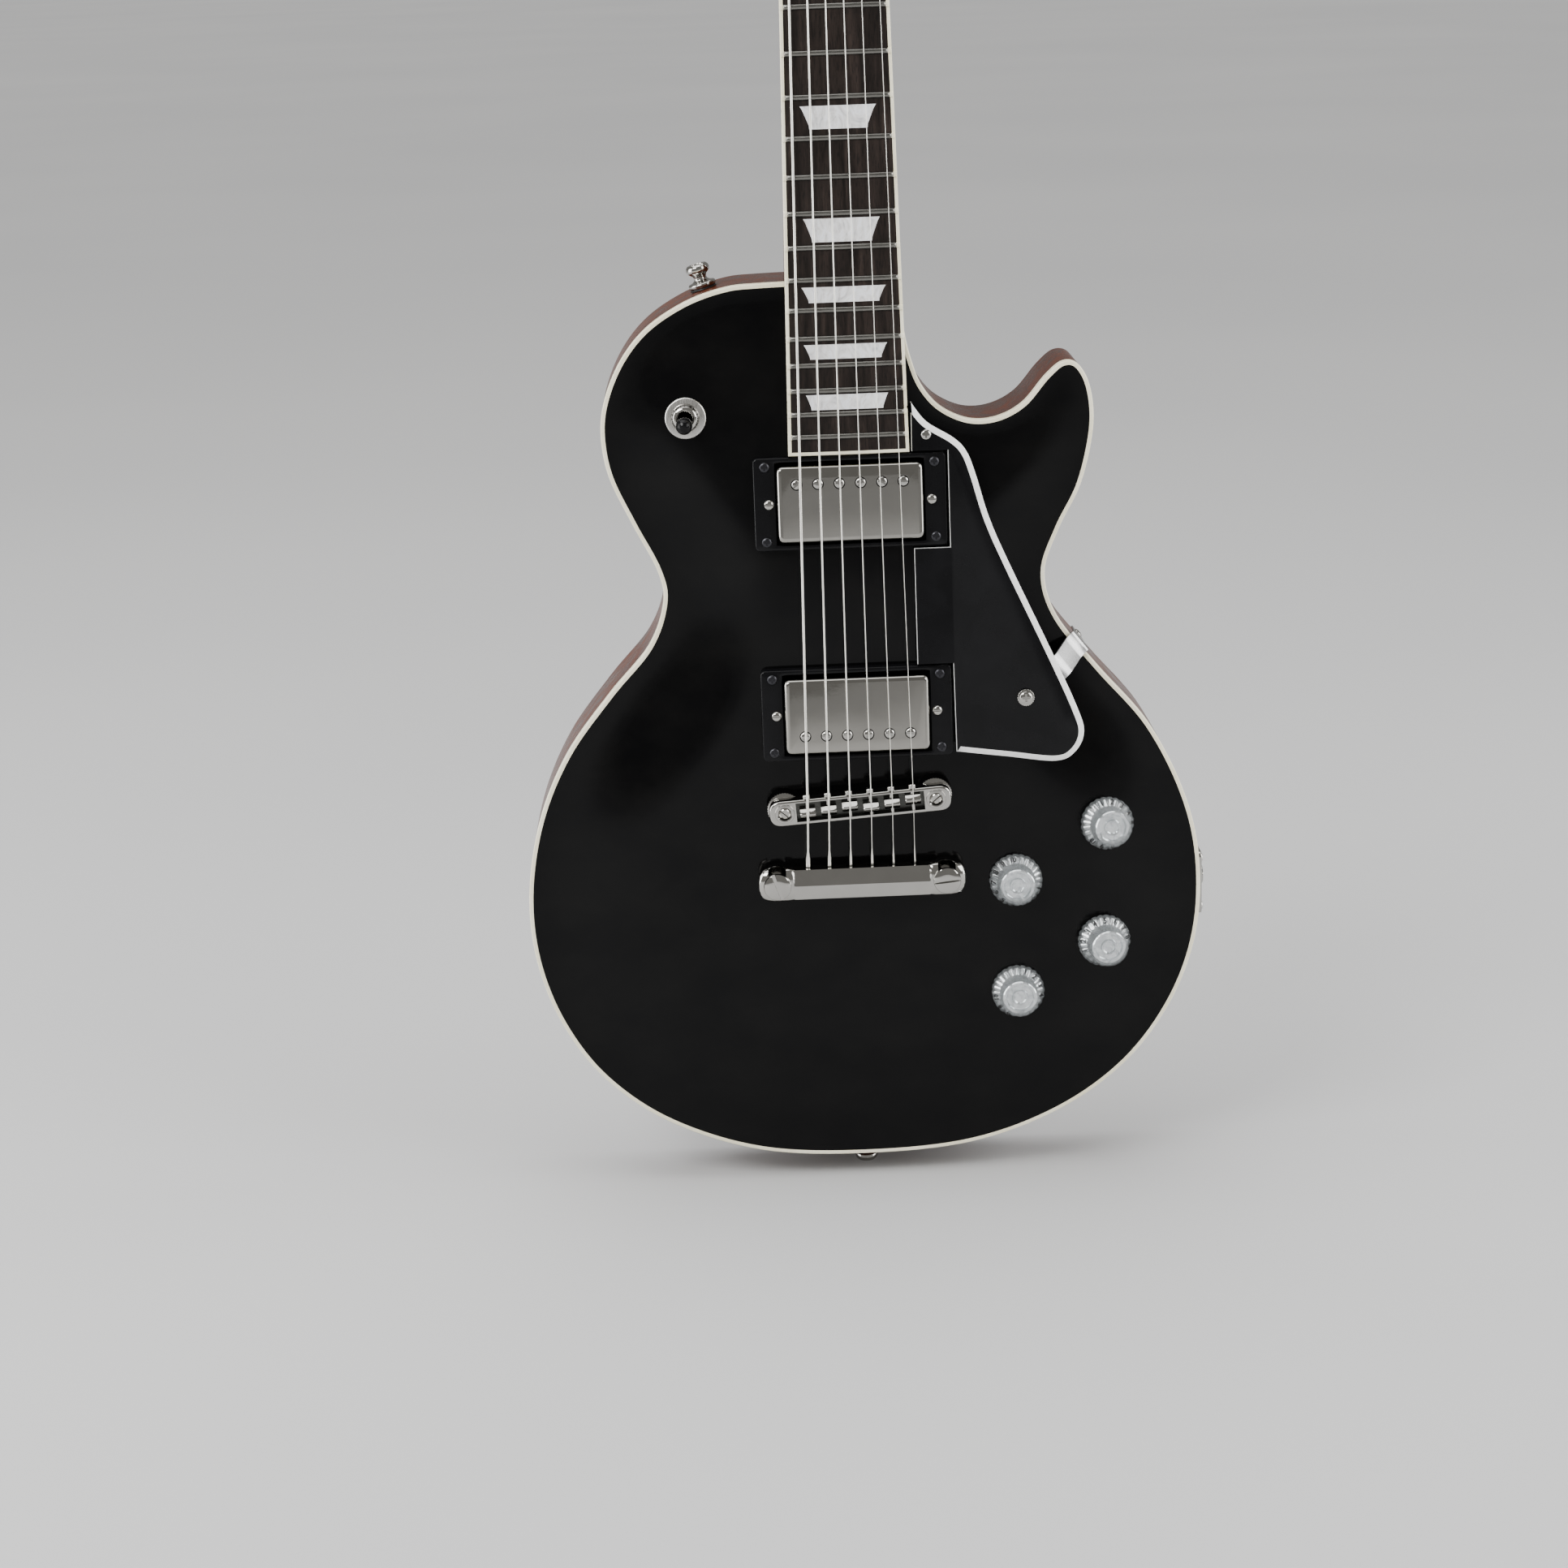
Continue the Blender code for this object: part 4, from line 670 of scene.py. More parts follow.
def make_black_lacquer():
    finish = Finish("black_lacquer", (0.0025, 0.0025, 0.003), 0.1, Specular_IOR_Level=0.13)
    haze = finish.noise(0.03, 4, stretch=(1, 1, 1.4), roughness=0.6)
    speckle = finish.noise(1.4, 2)
    finish.colour(haze, (0.35, (0.0012, 0.0012, 0.0014)),
                  (0.75, (0.0032, 0.0031, 0.003)))
    finish.rough(finish.blended(haze, speckle, 0.3), 0.08, 0.15, 0.35, 0.65)
    return finish.bump(finish.noise(0.16, 2), 0.006)


def make_wood(name, colour, roughness, specular, grain, tones, streak, shade, pores, pits,
              rough, relief):
    """Wood along Z: a grain in three tones, broad darker streaks and fine dark pores."""
    finish = Finish(name, colour, roughness, Specular_IOR_Level=specular)
    grain, streak, pores = finish.noise(*grain), finish.noise(*streak), finish.noise(*pores)
    tone = finish.ramp(grain, *tones)
    for value, (start, dark, end, share) in ((streak, shade), (pores, pits)):
        factor = finish.ramp(value, (start, dark), (end, (1, 1, 1)))
        tone = finish.blended(tone, factor, share, "MULTIPLY")
    finish.colour(tone)
    finish.rough(grain, *rough)
    return finish.bump(pores, *relief)


def make_mahogany():
    return make_wood(
        "lacquered_mahogany", (0.085, 0.02, 0.008), 0.3, 0.12,
        grain=(0.11, 6, 0.8, (1, 1, 0.035), 0.65),
        tones=((0.3, (0.032, 0.0072, 0.003)), (0.52, (0.076, 0.0175, 0.0064)),
               (0.72, (0.125, 0.032, 0.012))),
        streak=(0.012, 3, 1.2, (1, 1, 0.3)), shade=(0.35, (0.8, 0.74, 0.7), 0.65, 0.7),
        pores=(1.5, 2, 0, (1, 1, 0.045)), pits=(0.36, (0.25, 0.2, 0.18), 0.46, 0.75),
        rough=(0.2, 0.36), relief=(0.03, 0.5))


def make_rosewood():
    return make_wood(
        "rosewood", (0.03, 0.017, 0.012), 0.4, 0.25,
        grain=(0.3, 6, 0.6, (1, 1, 0.03), 0.6),
        tones=((0.3, (0.007, 0.005, 0.004)), (0.55, (0.017, 0.011, 0.0085)),
               (0.75, (0.034, 0.022, 0.017))),
        streak=(0.05, 3, 1.5, (1, 1, 0.06)), shade=(0.4, (0.6, 0.58, 0.58), 0.65, 0.8),
        pores=(2.2, 2, 0, (1, 1, 0.06)), pits=(0.36, (0.3, 0.28, 0.28), 0.48, 0.8),
        rough=(0.3, 0.5), relief=(0.05, 0.6))


def make_cream():
    finish = Finish("cream_plastic", (0.86, 0.81, 0.63), 0.28, Specular_IOR_Level=0.5)
    tone = finish.noise(0.05, 4, 0.4)
    finish.colour(tone, (0.3, (0.82, 0.76, 0.55)), (0.7, (0.92, 0.875, 0.69)))
    finish.rough(finish.noise(0.5, 3), 0.2, 0.36)
    return finish.bump(finish.noise(0.9, 2), 0.008)


def make_chrome(name="polished_chrome", base=(0.43, 0.42, 0.395), rough=(0.04, 0.1)):
    finish = Finish(name, base, rough[0], 1.0)
    smudge = finish.noise(0.09, 4, 0.6)
    finish.colour(smudge, (0.3, tuple(0.93 * c for c in base)), (0.7, base))
    finish.rough(smudge, *rough)
    return finish.bump(finish.noise(0.6, 2), 0.003)


def make_satin(name="satin_nickel", base=(0.6, 0.59, 0.56), stretch=(1, 1, 0.03)):
    finish = Finish(name, base, 0.3, 1.0)
    brushed = finish.noise(3.0, 3, 0, stretch)
    finish.colour(finish.noise(0.12, 4), (0.3, tuple(0.86 * c for c in base)),
                  (0.7, base))
    finish.rough(brushed, 0.2, 0.36)
    return finish.bump(brushed, 0.004)


def make_black_plastic(name="black_plastic", rough=(0.08, 0.2), base=(0.003, 0.003, 0.0034)):
    finish = Finish(name, base, rough[0], Specular_IOR_Level=0.15)
    wear = finish.noise(0.06, 5, 0.5)
    scratch = finish.noise(1.1, 2, 0, (1, 1, 0.06))
    finish.colour(wear, (0.3, base), (0.75, tuple(1.8 * c for c in base)))
    finish.rough(finish.blended(wear, scratch, 0.4), *rough)
    return finish.bump(finish.noise(0.3, 2), 0.004)


def make_white_ply():
    finish = Finish("white_ply", (0.86, 0.86, 0.84), 0.3)
    finish.colour(finish.noise(0.4, 3), (0.3, (0.80, 0.80, 0.78)),
                  (0.7, (0.90, 0.90, 0.89)))
    finish.rough(finish.noise(1.5, 2), 0.25, 0.4)
    return finish


def make_pearl():
    finish = Finish("pearl", (0.78, 0.78, 0.78), 0.18, Coat_Weight=0.5, Coat_Roughness=0.05)
    swirl = finish.noise(0.13, 5, 3.0, (1, 1, 0.6), 0.6)
    finish.colour(swirl, (0.3, (0.50, 0.50, 0.52)), (0.46, (0.74, 0.73, 0.72)),
                  (0.6, (0.86, 0.87, 0.90)), (0.75, (0.62, 0.62, 0.65)))
    finish.rough(swirl, 0.12, 0.26)
    return finish


def make_bone():
    finish = Finish("bone", (0.78, 0.74, 0.62), 0.3, Subsurface_Weight=0.1)
    finish.shader.inputs["Subsurface Scale"].default_value = 0.002
    finish.colour(finish.noise(0.4, 5, 0.5, (0.3, 1, 1)),
                  (0.3, (0.70, 0.655, 0.53)), (0.7, (0.82, 0.79, 0.68)))
    finish.rough(finish.noise(2.0, 2), 0.25, 0.4)
    return finish


def make_string(name, wound):
    finish = Finish(name, (0.93, 0.91, 0.84), 0.3, 1.0)
    finish.colour(finish.noise(0.08, 3, 0, (1, 1, 0.3)),
                  (0.3, (0.86, 0.84, 0.77)), (0.7, (0.96, 0.94, 0.88)))
    finish.rough(finish.noise(1.5, 2), 0.28, 0.42)
    if wound:
        finish.bump(finish.wave(0.32, 0, direction="Z"), 0.05, 0.6)
    else:
        finish.bump(finish.noise(3.0, 1, 0, (1, 1, 0.05)), 0.002)
    return finish


def make_acrylic():
    finish = Finish("clear_acrylic", (0.5, 0.53, 0.54), 0.05, Alpha=0.12)
    finish.rough(finish.noise(0.4, 3), 0.02, 0.1)
    return finish.bump(finish.noise(0.8, 2), 0.01)


def make_silver():
    finish = Finish("knob_silver", (0.78, 0.8, 0.81), 0.15, 0.95)
    sparkle = finish.noise(0.25, 3, 1.0)
    finish.colour(sparkle, (0.3, (0.5, 0.53, 0.54)), (0.6, (0.8, 0.82, 0.83)))
    finish.rough(sparkle, 0.08, 0.2)
    return finish.bump(finish.noise(0.25, 2), 0.06)


BLACK = make_black_lacquer()
MAHOGANY = make_mahogany()
CREAM = make_cream()
CHROME = make_chrome()
COVER_CHROME = make_chrome("cover_chrome", (0.33, 0.32, 0.295))
SATIN = make_satin()
BRUSHED = make_satin("brushed_aluminium", (0.46, 0.46, 0.46), (0.06, 1, 1))
NICKEL = make_satin("fret_nickel", (0.19, 0.185, 0.17), (0.05, 1, 1))
# painted shade: a near-black satin for the bridge trough's walls and floor, standing in for the
# shade inside the recess
WELL_PAINTED_SHADE = make_satin("bridge_well_painted_shade", (0.07, 0.07, 0.065), (0.05, 1, 1))
PLASTIC = make_black_plastic()
SATIN_PLASTIC = make_black_plastic("satin_black", (0.25, 0.4), (0.012, 0.012, 0.012))
DARK_STEEL = make_chrome("dark_screw", (0.045, 0.045, 0.05), (0.25, 0.4))
ZINC = make_satin("zinc_steel", (0.42, 0.42, 0.41), (1, 1, 0.2))
PLY = make_white_ply()
ROSEWOOD = make_rosewood()
PEARL = make_pearl()
BONE = make_bone()
PLAIN_WIRE = make_string("plain_wire", False)
WOUND_WIRE = make_string("wound_wire", True)
ACRYLIC = make_acrylic()
SILVER = make_silver()
INK = make_black_plastic("ink", (0.35, 0.5), (0.01, 0.01, 0.01))
BRASS = make_chrome("brass", (0.62, 0.45, 0.2), (0.12, 0.25))


# ---------------------------------------------------------------- pieces
def piece(name, meshes, finishes, nodes=(), body="root_body",
          place=None, smooth=32):
    """A named piece from shapes modelled in a frame; finishes go with the shapes in order.

    A shape that already has its own material indices keeps them.
    """
    meshes = meshes if isinstance(meshes, (list, tuple)) else [meshes]
    finishes = finishes if isinstance(finishes, (list, tuple)) else [finishes]
    bm = bmesh.new()
    for index, mesh in enumerate(meshes):
        known = len(bm.faces)
        bm.from_mesh(mesh)
        bm.faces.ensure_lookup_table()
        if len(meshes) == len(finishes) > 1:
            for face in bm.faces[known:]:
                face.material_index = index
    mesh = bpy.data.meshes.new(name)
    bm.to_mesh(mesh)
    bm.free()
    mesh.transform(Matrix.Scale(MM, 4) @ (place or Matrix.Identity(4)))
    for finish in finishes:
        mesh.materials.append(finish.material)
    mesh.shade_smooth()
    mesh.set_sharp_from_angle(angle=radians(smooth))
    thing = add(name, mesh)
    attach(thing, body)
    if nodes:
        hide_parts(*nodes)
    return thing


def dress(node, finish, width=0.0):
    """Gives a carried-over CAD node its finish, and rounds its sharp edges."""
    thing = frame["nodes"][node]
    thing.data.materials.clear()
    thing.data.materials.append(finish.material)
    if width:
        modifier = thing.modifiers.new("Edges", "BEVEL")
        modifier.width = width * MM
        modifier.segments = 3
        modifier.limit_method = "ANGLE"
        modifier.angle_limit = radians(35)
        modifier.harden_normals = True


def body_loop(distance, y):
    return [(x, y, z + SADDLE_Z) for x, z in inset(OUTLINE, distance)]


def world_slab(loop, front, back, **options):
    return slab([(x, z + SADDLE_Z) for x, z in loop], front, back, **options)


def pocket(half_width, low_z, high_z, floor_y):
    return box((-half_width, RIM_Y - 20, low_z + SADDLE_Z),
               (half_width, floor_y, high_z + SADDLE_Z))


def neck_pocket():
    return pocket(TENON_WIDTH / 2 + GAP, TENON_END_Z - GAP, HEEL_Z + 8, TENON_FLOOR_Y + GAP)


def cavities():
    return [pocket(COVER_SIZE[0] / 2 + 1, z - COVER_SIZE[1] / 2 - 2, z + COVER_SIZE[1] / 2 + 2, 3)
            for z in PICKUPS.values()]


def bridge_post_place(side):
    half = side * BRIDGE_POST_SPACING / 2
    return half * cos(BRIDGE_SLANT), BRIDGE_Z + half * sin(BRIDGE_SLANT)


def stud_holes():
    holes = []
    for side in (-1, 1):
        for (x, z), radius in ((bridge_post_place(side), POST_STUD_RADIUS),
                               ((side * TAILPIECE_STUD_SPACING / 2, TAILPIECE_Z), BUSHING_RADIUS)):
            holes.append(rod(radius + 0.05, (x, RIM_Y - 20, z + SADDLE_Z),
                             (x, STUD_HOLE_FLOOR_Y, z + SADDLE_Z)))
    return holes


def joint_frame(name):
    """A joint's rest frame in millimetres: local Z along its axis."""
    joint = next(joint for joint in frame["joints"] if joint["name"] == name)
    axis = Vector(joint["axis"])
    place = Vector(joint["pos_m"]) / MM
    return Matrix.Translation(place) @ axis.to_track_quat("Z", "Y").to_matrix().to_4x4()


KNOBS = {name: joint_frame(f"knob_{name}_turn") for name in (
    "bass_side_upper", "treble_side_upper", "bass_side_lower", "treble_side_lower")}


# ---------------------------------------------------------------- body
def cover_loops(clearance):
    return (inset(CONTROL_CAVITY, -COVER_LEDGE - clearance),
            circle(SWITCH_CAVITY_RADIUS + COVER_LEDGE + clearance, SWITCH_PLACE, 72))


def make_back():
    edge, steps = 3.0, 6
    sections = [body_loop(0, CAP_Y + 2 * SEAM)]
    for k in range(steps + 1):
        angle = pi / 2 * k / steps
        sections.append(body_loop(edge * (1 - cos(angle)),
                                  BACK_Y - edge * (1 - sin(angle))))
    back = boolean(loft(sections), [neck_pocket()] + cavities() + stud_holes())
    rear = [world_slab(CONTROL_CAVITY, CAP_Y - 1, BACK_Y + 1),
            world_slab(circle(SWITCH_CAVITY_RADIUS, SWITCH_PLACE, 72), CAP_Y - 1, BACK_Y + 1)]
    back = boolean(back, rear)
    back = boolean(back, [world_slab(loop, BACK_Y - COVER_THICKNESS - 0.05, BACK_Y + 1)
                          for loop in cover_loops(0.12)])
    jack = rod(JACK_HOLE_RADIUS, (JACK_FACE_X - 45, 0, JACK_Z + SADDLE_Z),
               (JACK_FACE_X + 5, 0, JACK_Z + SADDLE_Z))
    piece("back", boolean(back, jack), MAHOGANY, ["body_back"])


def inside(loop, x, z):
    """Which of the places in arrays lie inside a closed loop."""
    result = np.zeros(len(x), bool)
    for (x0, z0), (x1, z1) in zip(loop, np.roll(loop, -1, axis=0)):
        crosses = (z0 > z) != (z1 > z)
        if z1 != z0:
            result ^= crosses & (x < x0 + (z - z0) / (z1 - z0) * (x1 - x0))
    return result


def nearest(loop, x, z):
    return np.min(np.hypot(loop[None, :, 0] - x[:, None], loop[None, :, 1] - z[:, None]), axis=1)


def make_cap():
    """The carved cap: fine rings along the rim, then an even grid over the crown."""
    edge = inset(OUTLINE, BINDING_WIDTH + SEAM)
    near = inset(OUTLINE, BINDING_WIDTH + 2.0)
    grid_x, grid_z = (values.ravel() for values in np.meshgrid(
        np.arange(-165, 170, CAP_GRID), np.arange(-190, 250, CAP_GRID)))
    keep = inside(edge, grid_x, grid_z)
    grid_x, grid_z = grid_x[keep], grid_z[keep]
    keep = nearest(OUTLINE, grid_x, grid_z) > BINDING_WIDTH + 3.8
    places = [Vector(place) for place in edge] + [Vector(place) for place in near[::2]]
    places += [Vector(place) for place in zip(grid_x[keep], grid_z[keep])]
    rim = [(i, (i + 1) % len(edge)) for i in range(len(edge))]
    places, _, faces, _, _, _ = delaunay_2d_cdt(places, rim, [], 1, 0.0001)
    spots = np.array(places)
    heights = arch_of(spots[:, 0], spots[:, 1])
    heights[:len(edge)] = 0.0
    bm = bmesh.new()
    crown = [bm.verts.new((x, RIM_Y - height, z + SADDLE_Z))
             for (x, z), height in zip(spots, heights)]
    for face in faces:
        bm.faces.new([crown[i] for i in face])
    ledge_y = RIM_Y + BINDING_DEPTH
    rings = [crown[:len(edge)]]
    for distance, y in ((BINDING_WIDTH + SEAM, ledge_y + SEAM), (0, ledge_y + SEAM), (0, CAP_Y)):
        rings.append([bm.verts.new(point) for point in body_loop(distance, y)])
    for first, second in zip(rings, rings[1:]):
        ring_faces(bm, first, second)
    bm.faces.new(rings[-1])
    shafts = [placed(rod(POT_SHAFT_HOLE, (0, 0, 10), (0, 0, -BORE_DEPTH)), place)
              for place in KNOBS.values()]
    switch = placed(rod(SWITCH_BUSH_RADIUS + 0.1, (0, 0, 8), (0, 0, -BORE_DEPTH)),
                    cap_frame(*SWITCH_PLACE))
    cap = boolean(new_mesh(bm), [neck_pocket()] + cavities() + stud_holes() + shafts + [switch])
    for face in cap.polygons:
        low = min(cap.vertices[i].co.y for i in face.vertices)
        face.material_index = 1 if low > ledge_y - 0.1 else 0
    piece("cap", cap, [BLACK, MAHOGANY], ["body_top"], smooth=40)


def make_binding():
    corner = fillet(((BINDING_WIDTH, 0), (0, 0), (0, BINDING_DEPTH)), 0.7, 4)
    levels = list(corner) + [(BINDING_WIDTH, BINDING_DEPTH)]
    binding = loft([body_loop(distance, RIM_Y + depth) for distance, depth in levels], hoop=True)
    piece("binding", boolean(binding, neck_pocket()), CREAM, ["body_binding"])


def make_covers():
    outlines = cover_loops(0)
    edge = inset(outlines[0], 4.2)
    control_screws = [min(edge, key=lambda p: hypot(p[0] - x, p[1] - z)) for x, z in
                      ((66, -30), (122, 0), (139, -62), (118, -112), (62, -112))]
    switch_screws = [(SWITCH_PLACE[0] + 21.2 * cos(t), SWITCH_PLACE[1] + 21.2 * sin(t))
                     for t in (0.5, 0.5 + 2 * pi / 3, 0.5 + 4 * pi / 3)]
    for name, loop, screws in zip(("control_cover", "switch_cover"), outlines,
                                  (control_screws, switch_screws)):
        cover = world_slab(loop, BACK_Y - COVER_THICKNESS, BACK_Y, edge=0.0, back_edge=0.35)
        piece(name + "_plate", cover, SATIN_PLASTIC, [name])
        heads = [placed(screw_head(2.9, 1.0), shift(x, BACK_Y, z + SADDLE_Z), BACKWARD)
                 for x, z in screws]
        piece(name + "_screws", heads, DARK_STEEL)


def make_strap_buttons():
    top = BUTTON_LENGTH
    profile = [(0, top - 1.8), (2.9, top - 1.8), (3.2, top), (4.5, top), (5.45, top - 1.0),
               (5.8, top - 2.3), (5.5, top - 3.5), (4.6, top - 4.4), (3.5, top - 5.2),
               (3.05, 5.7), (3.25, 4.6), (4.4, 3.75), (6.2, 3.3), (6.7, 2.6), (6.5, 1.4),
               (6.0, 0.7), (5.8, 0.0), (0, 0.0)]
    button = lathe(profile, 56, edge=0.3)
    felt = lathe(((3.6, 0.0), (6.3, 0.0), (6.5, 0.35), (6.3, 0.7), (3.6, 0.7)), 48, closed=True)
    head = placed(screw_head(2.7, 1.2), shift(0, 0, top - 1.6))
    x, z = SHOULDER_BUTTON
    places = {
        "end": shift(0, 0, top) @ turn(pi, "X"),
        "shoulder": shift(x, 0, z + SADDLE_Z) @ turn(-SHOULDER_BUTTON_LEAN, "Y"),
    }
    for name, place in places.items():
        piece(f"{name}_button", [button, head], [CHROME, SATIN],
              [f"{name}_strap_button"], place=place)
        piece(f"{name}_button_felt", felt, SATIN_PLASTIC, place=place)


# ---------------------------------------------------------------- neck and headstock
def neck_section(s_at, half_width, top, bottom, power, count=40):
    points = []
    for i in range(count + 1):
        angle = pi * i / count
        across, down = cos(angle), sin(angle)
        x = half_width * copysign(abs(across) ** (2 / power), across)
        y = top + (bottom - top) * abs(down) ** (2 / power)
        points.append((x, y, s_at(y)))
    return points


def head_outline():
    half = catmull_rom(HEAD_HALF_OUTLINE, 8)
    return [(x, z) for x, z in half] + [(-x, z) for x, z in half[-2::-1]]


def tuner_places():
    return [(name, number + 1, side, side * TUNER_X[number], TUNER_ROWS[number])
            for name, side in (("bass", -1), ("treble", 1)) for number in range(3)]


def tuner_holes():
    return [rod(POST_RADIUS + 0.4, (x, -5, z), (x, 30, z)) for _, _, _, x, z in tuner_places()]


def head_block():
    """The headstock's wood; its back edges are rounder near the neck."""
    outline = np.array(head_outline())
    radius = 1.8 + 6.5 * np.clip(1 - outline[:, 1] / 34, 0, 1) ** 1.5
    back = VENEER_THICKNESS + GAP + HEAD_THICKNESS
    rings = [[(x, VENEER_THICKNESS + SEAM, z) for x, z in outline]]
    steps = 6
    for k in range(steps + 1):
        angle = pi / 2 * k / steps
        loop = inset(outline, radius * (1 - cos(angle)))
        for corner in (0, -1):                  # the corners at the neck move only inward
            toward = -copysign(radius[corner], outline[corner, 0])
            loop[corner] = (outline[corner, 0] + toward * (1 - cos(angle)), 0.0)
        rings.append([(x, back - r * (1 - sin(angle)), z)
                      for (x, z), r in zip(loop, radius)])
    return loft(rings)


def make_neck():
    heel_s = along_neck(HEEL_Z + GAP, 0)
    top = BOARD_THICKNESS + SEAM
    sections = [neck_section(lambda y: along_neck(HEEL_Z + 2 * SEAM, y), board_width(heel_s) / 2,
                             top, HEEL_DEPTH, 5.0)]
    for distance, bottom, power in catmull_rom(NECK_PROFILE, 5)[2:]:
        s = heel_s + distance
        sections.append(neck_section(lambda y, s=s: s, board_width(s) / 2, top, bottom, power))
    last = (heel_s + NECK_PROFILE[-1][0], top, NECK_PROFILE[-1][1], NECK_PROFILE[-1][2])
    for s, upper, bottom, power in catmull_rom((last,) + HEAD_TRANSITION, 5)[1:]:
        half = max(NUT_WIDTH, board_width(s)) / 2
        sections.append(neck_section(lambda y, s=s: s, half, upper, bottom, power))
    half = TENON_WIDTH / 2
    tenon = []
    for z in (TENON_END_Z, HEEL_Z + 6):
        floor = neck_y(TENON_FLOOR_Y, z)
        tenon.append([(x, y, along_neck(z, y)) for x, y in
                      ((-half, top), (half, top), (half, floor), (-half, floor))])
    head = placed(head_block(), NECK.inverted() @ HEAD)
    neck = boolean(boolean(loft(sections), loft(tenon), "UNION"), head, "UNION")
    holes = [placed(hole, NECK.inverted() @ HEAD) for hole in tuner_holes()]
    piece("neck_wood", boolean(neck, holes + [box(*ROD_CHANNEL)]), MAHOGANY, ["neck"],
          place=NECK, smooth=38)


def make_headstock_trim():
    outline = head_outline()
    share = np.clip(np.array([z for _, z in outline]) / 4, 0, 1)
    veneer = slab(outline, 0, VENEER_THICKNESS, edge=0.35, back_edge=0.0, share=share)
    pocket_hole = slab(rectangle(9, 22, 2, (0, 15)), -5, 10)
    piece("headstock_face", boolean(veneer, tuner_holes() + [pocket_hole]), BLACK,
          ["headstock_veneer"], place=HEAD)
    bell = catmull_rom(((0, 2.6), (9, 2.8), (11.5, 6), (10, 13), (6, 23), (0, 32),
                        (-6, 23), (-10, 13), (-11.5, 6), (-9, 2.8)), 8, closed=True)
    levels = ((0.9, -1.82), (0.0, -0.9), (0.0, 0.0))
    cover = loft([[(x, depth, z) for x, z in inset(bell, distance)]
                  for distance, depth in levels])
    for face in cover.polygons:
        face.material_index = 1 if len(face.vertices) == 4 and face.center.y < -0.9 else 0
    piece("rod_cover", cover, [PLASTIC, PLY], ["truss_rod_cover"], place=HEAD)
    heads = [placed(screw_head(1.9, 0.8), shift(0, -1.8, z), FACING) for z in (6.6, 27.5)]
    piece("rod_cover_screws", heads, SATIN, place=HEAD)
    dress("truss_rod", ZINC)


def make_fingerboard():
    low, high = BOARD_END_S + BOARD_BINDING, SCALE_LENGTH
    sections = []
    for s in np.linspace(low, high, 24):
        half = board_width(s) / 2 - BOARD_BINDING
        xs = np.linspace(-half, half, 17)
        sections.append([(-half, BOARD_THICKNESS, s)] + [(x, radius_drop(x), s) for x in xs]
                        + [(half, BOARD_THICKNESS, s)])
    piece("board", loft(sections), ROSEWOOD, ["fingerboard"], place=NECK)
    frets = []
    crown = [(FRET_WIDTH / 2 * cos(t), FRET_HEIGHT * sin(t) ** 0.8)
             for t in np.linspace(0, pi, 9)]
    for number in range(1, FRET_COUNT + 1):
        s = fret_place(number)
        half = board_width(s) / 2 - BOARD_BINDING
        stations = [(-half, 0.35), (-half + 0.5, 0.8), (-half + 1.1, 1.0)]
        stations += [(x, 1.0) for x in np.linspace(-half + 3, half - 3, 13)]
        stations += [(half - 1.1, 1.0), (half - 0.5, 0.8), (half, 0.35)]
        frets.append(loft([[(x, radius_drop(x) + 0.3, s + crown[0][0])]
                           + [(x, radius_drop(x) - rise * share, s + across)
                              for across, rise in crown]
                           + [(x, radius_drop(x) + 0.3, s + crown[-1][0])]
                           for x, share in stations]))
    piece("frets", frets, NICKEL, place=NECK, smooth=50)
    inlays = []
    for number, (wide, narrow, height) in INLAYS.items():
        centre = inlay_place(number)
        levels = [(centre + (u - 0.5) * height, (narrow + (wide - narrow) * u ** 1.7) / 2)
                  for u in np.linspace(0, 1, 7)]
        sections = []
        for t in np.linspace(-1, 1, 13):
            front = [(t * half, radius_drop(t * half) - 0.03, s) for s, half in levels]
            back = [(x, y + 0.53, s) for x, y, s in reversed(front)]
            sections.append(front + back)
        inlays.append(loft(sections))
    piece("inlays", inlays, PEARL, place=NECK)


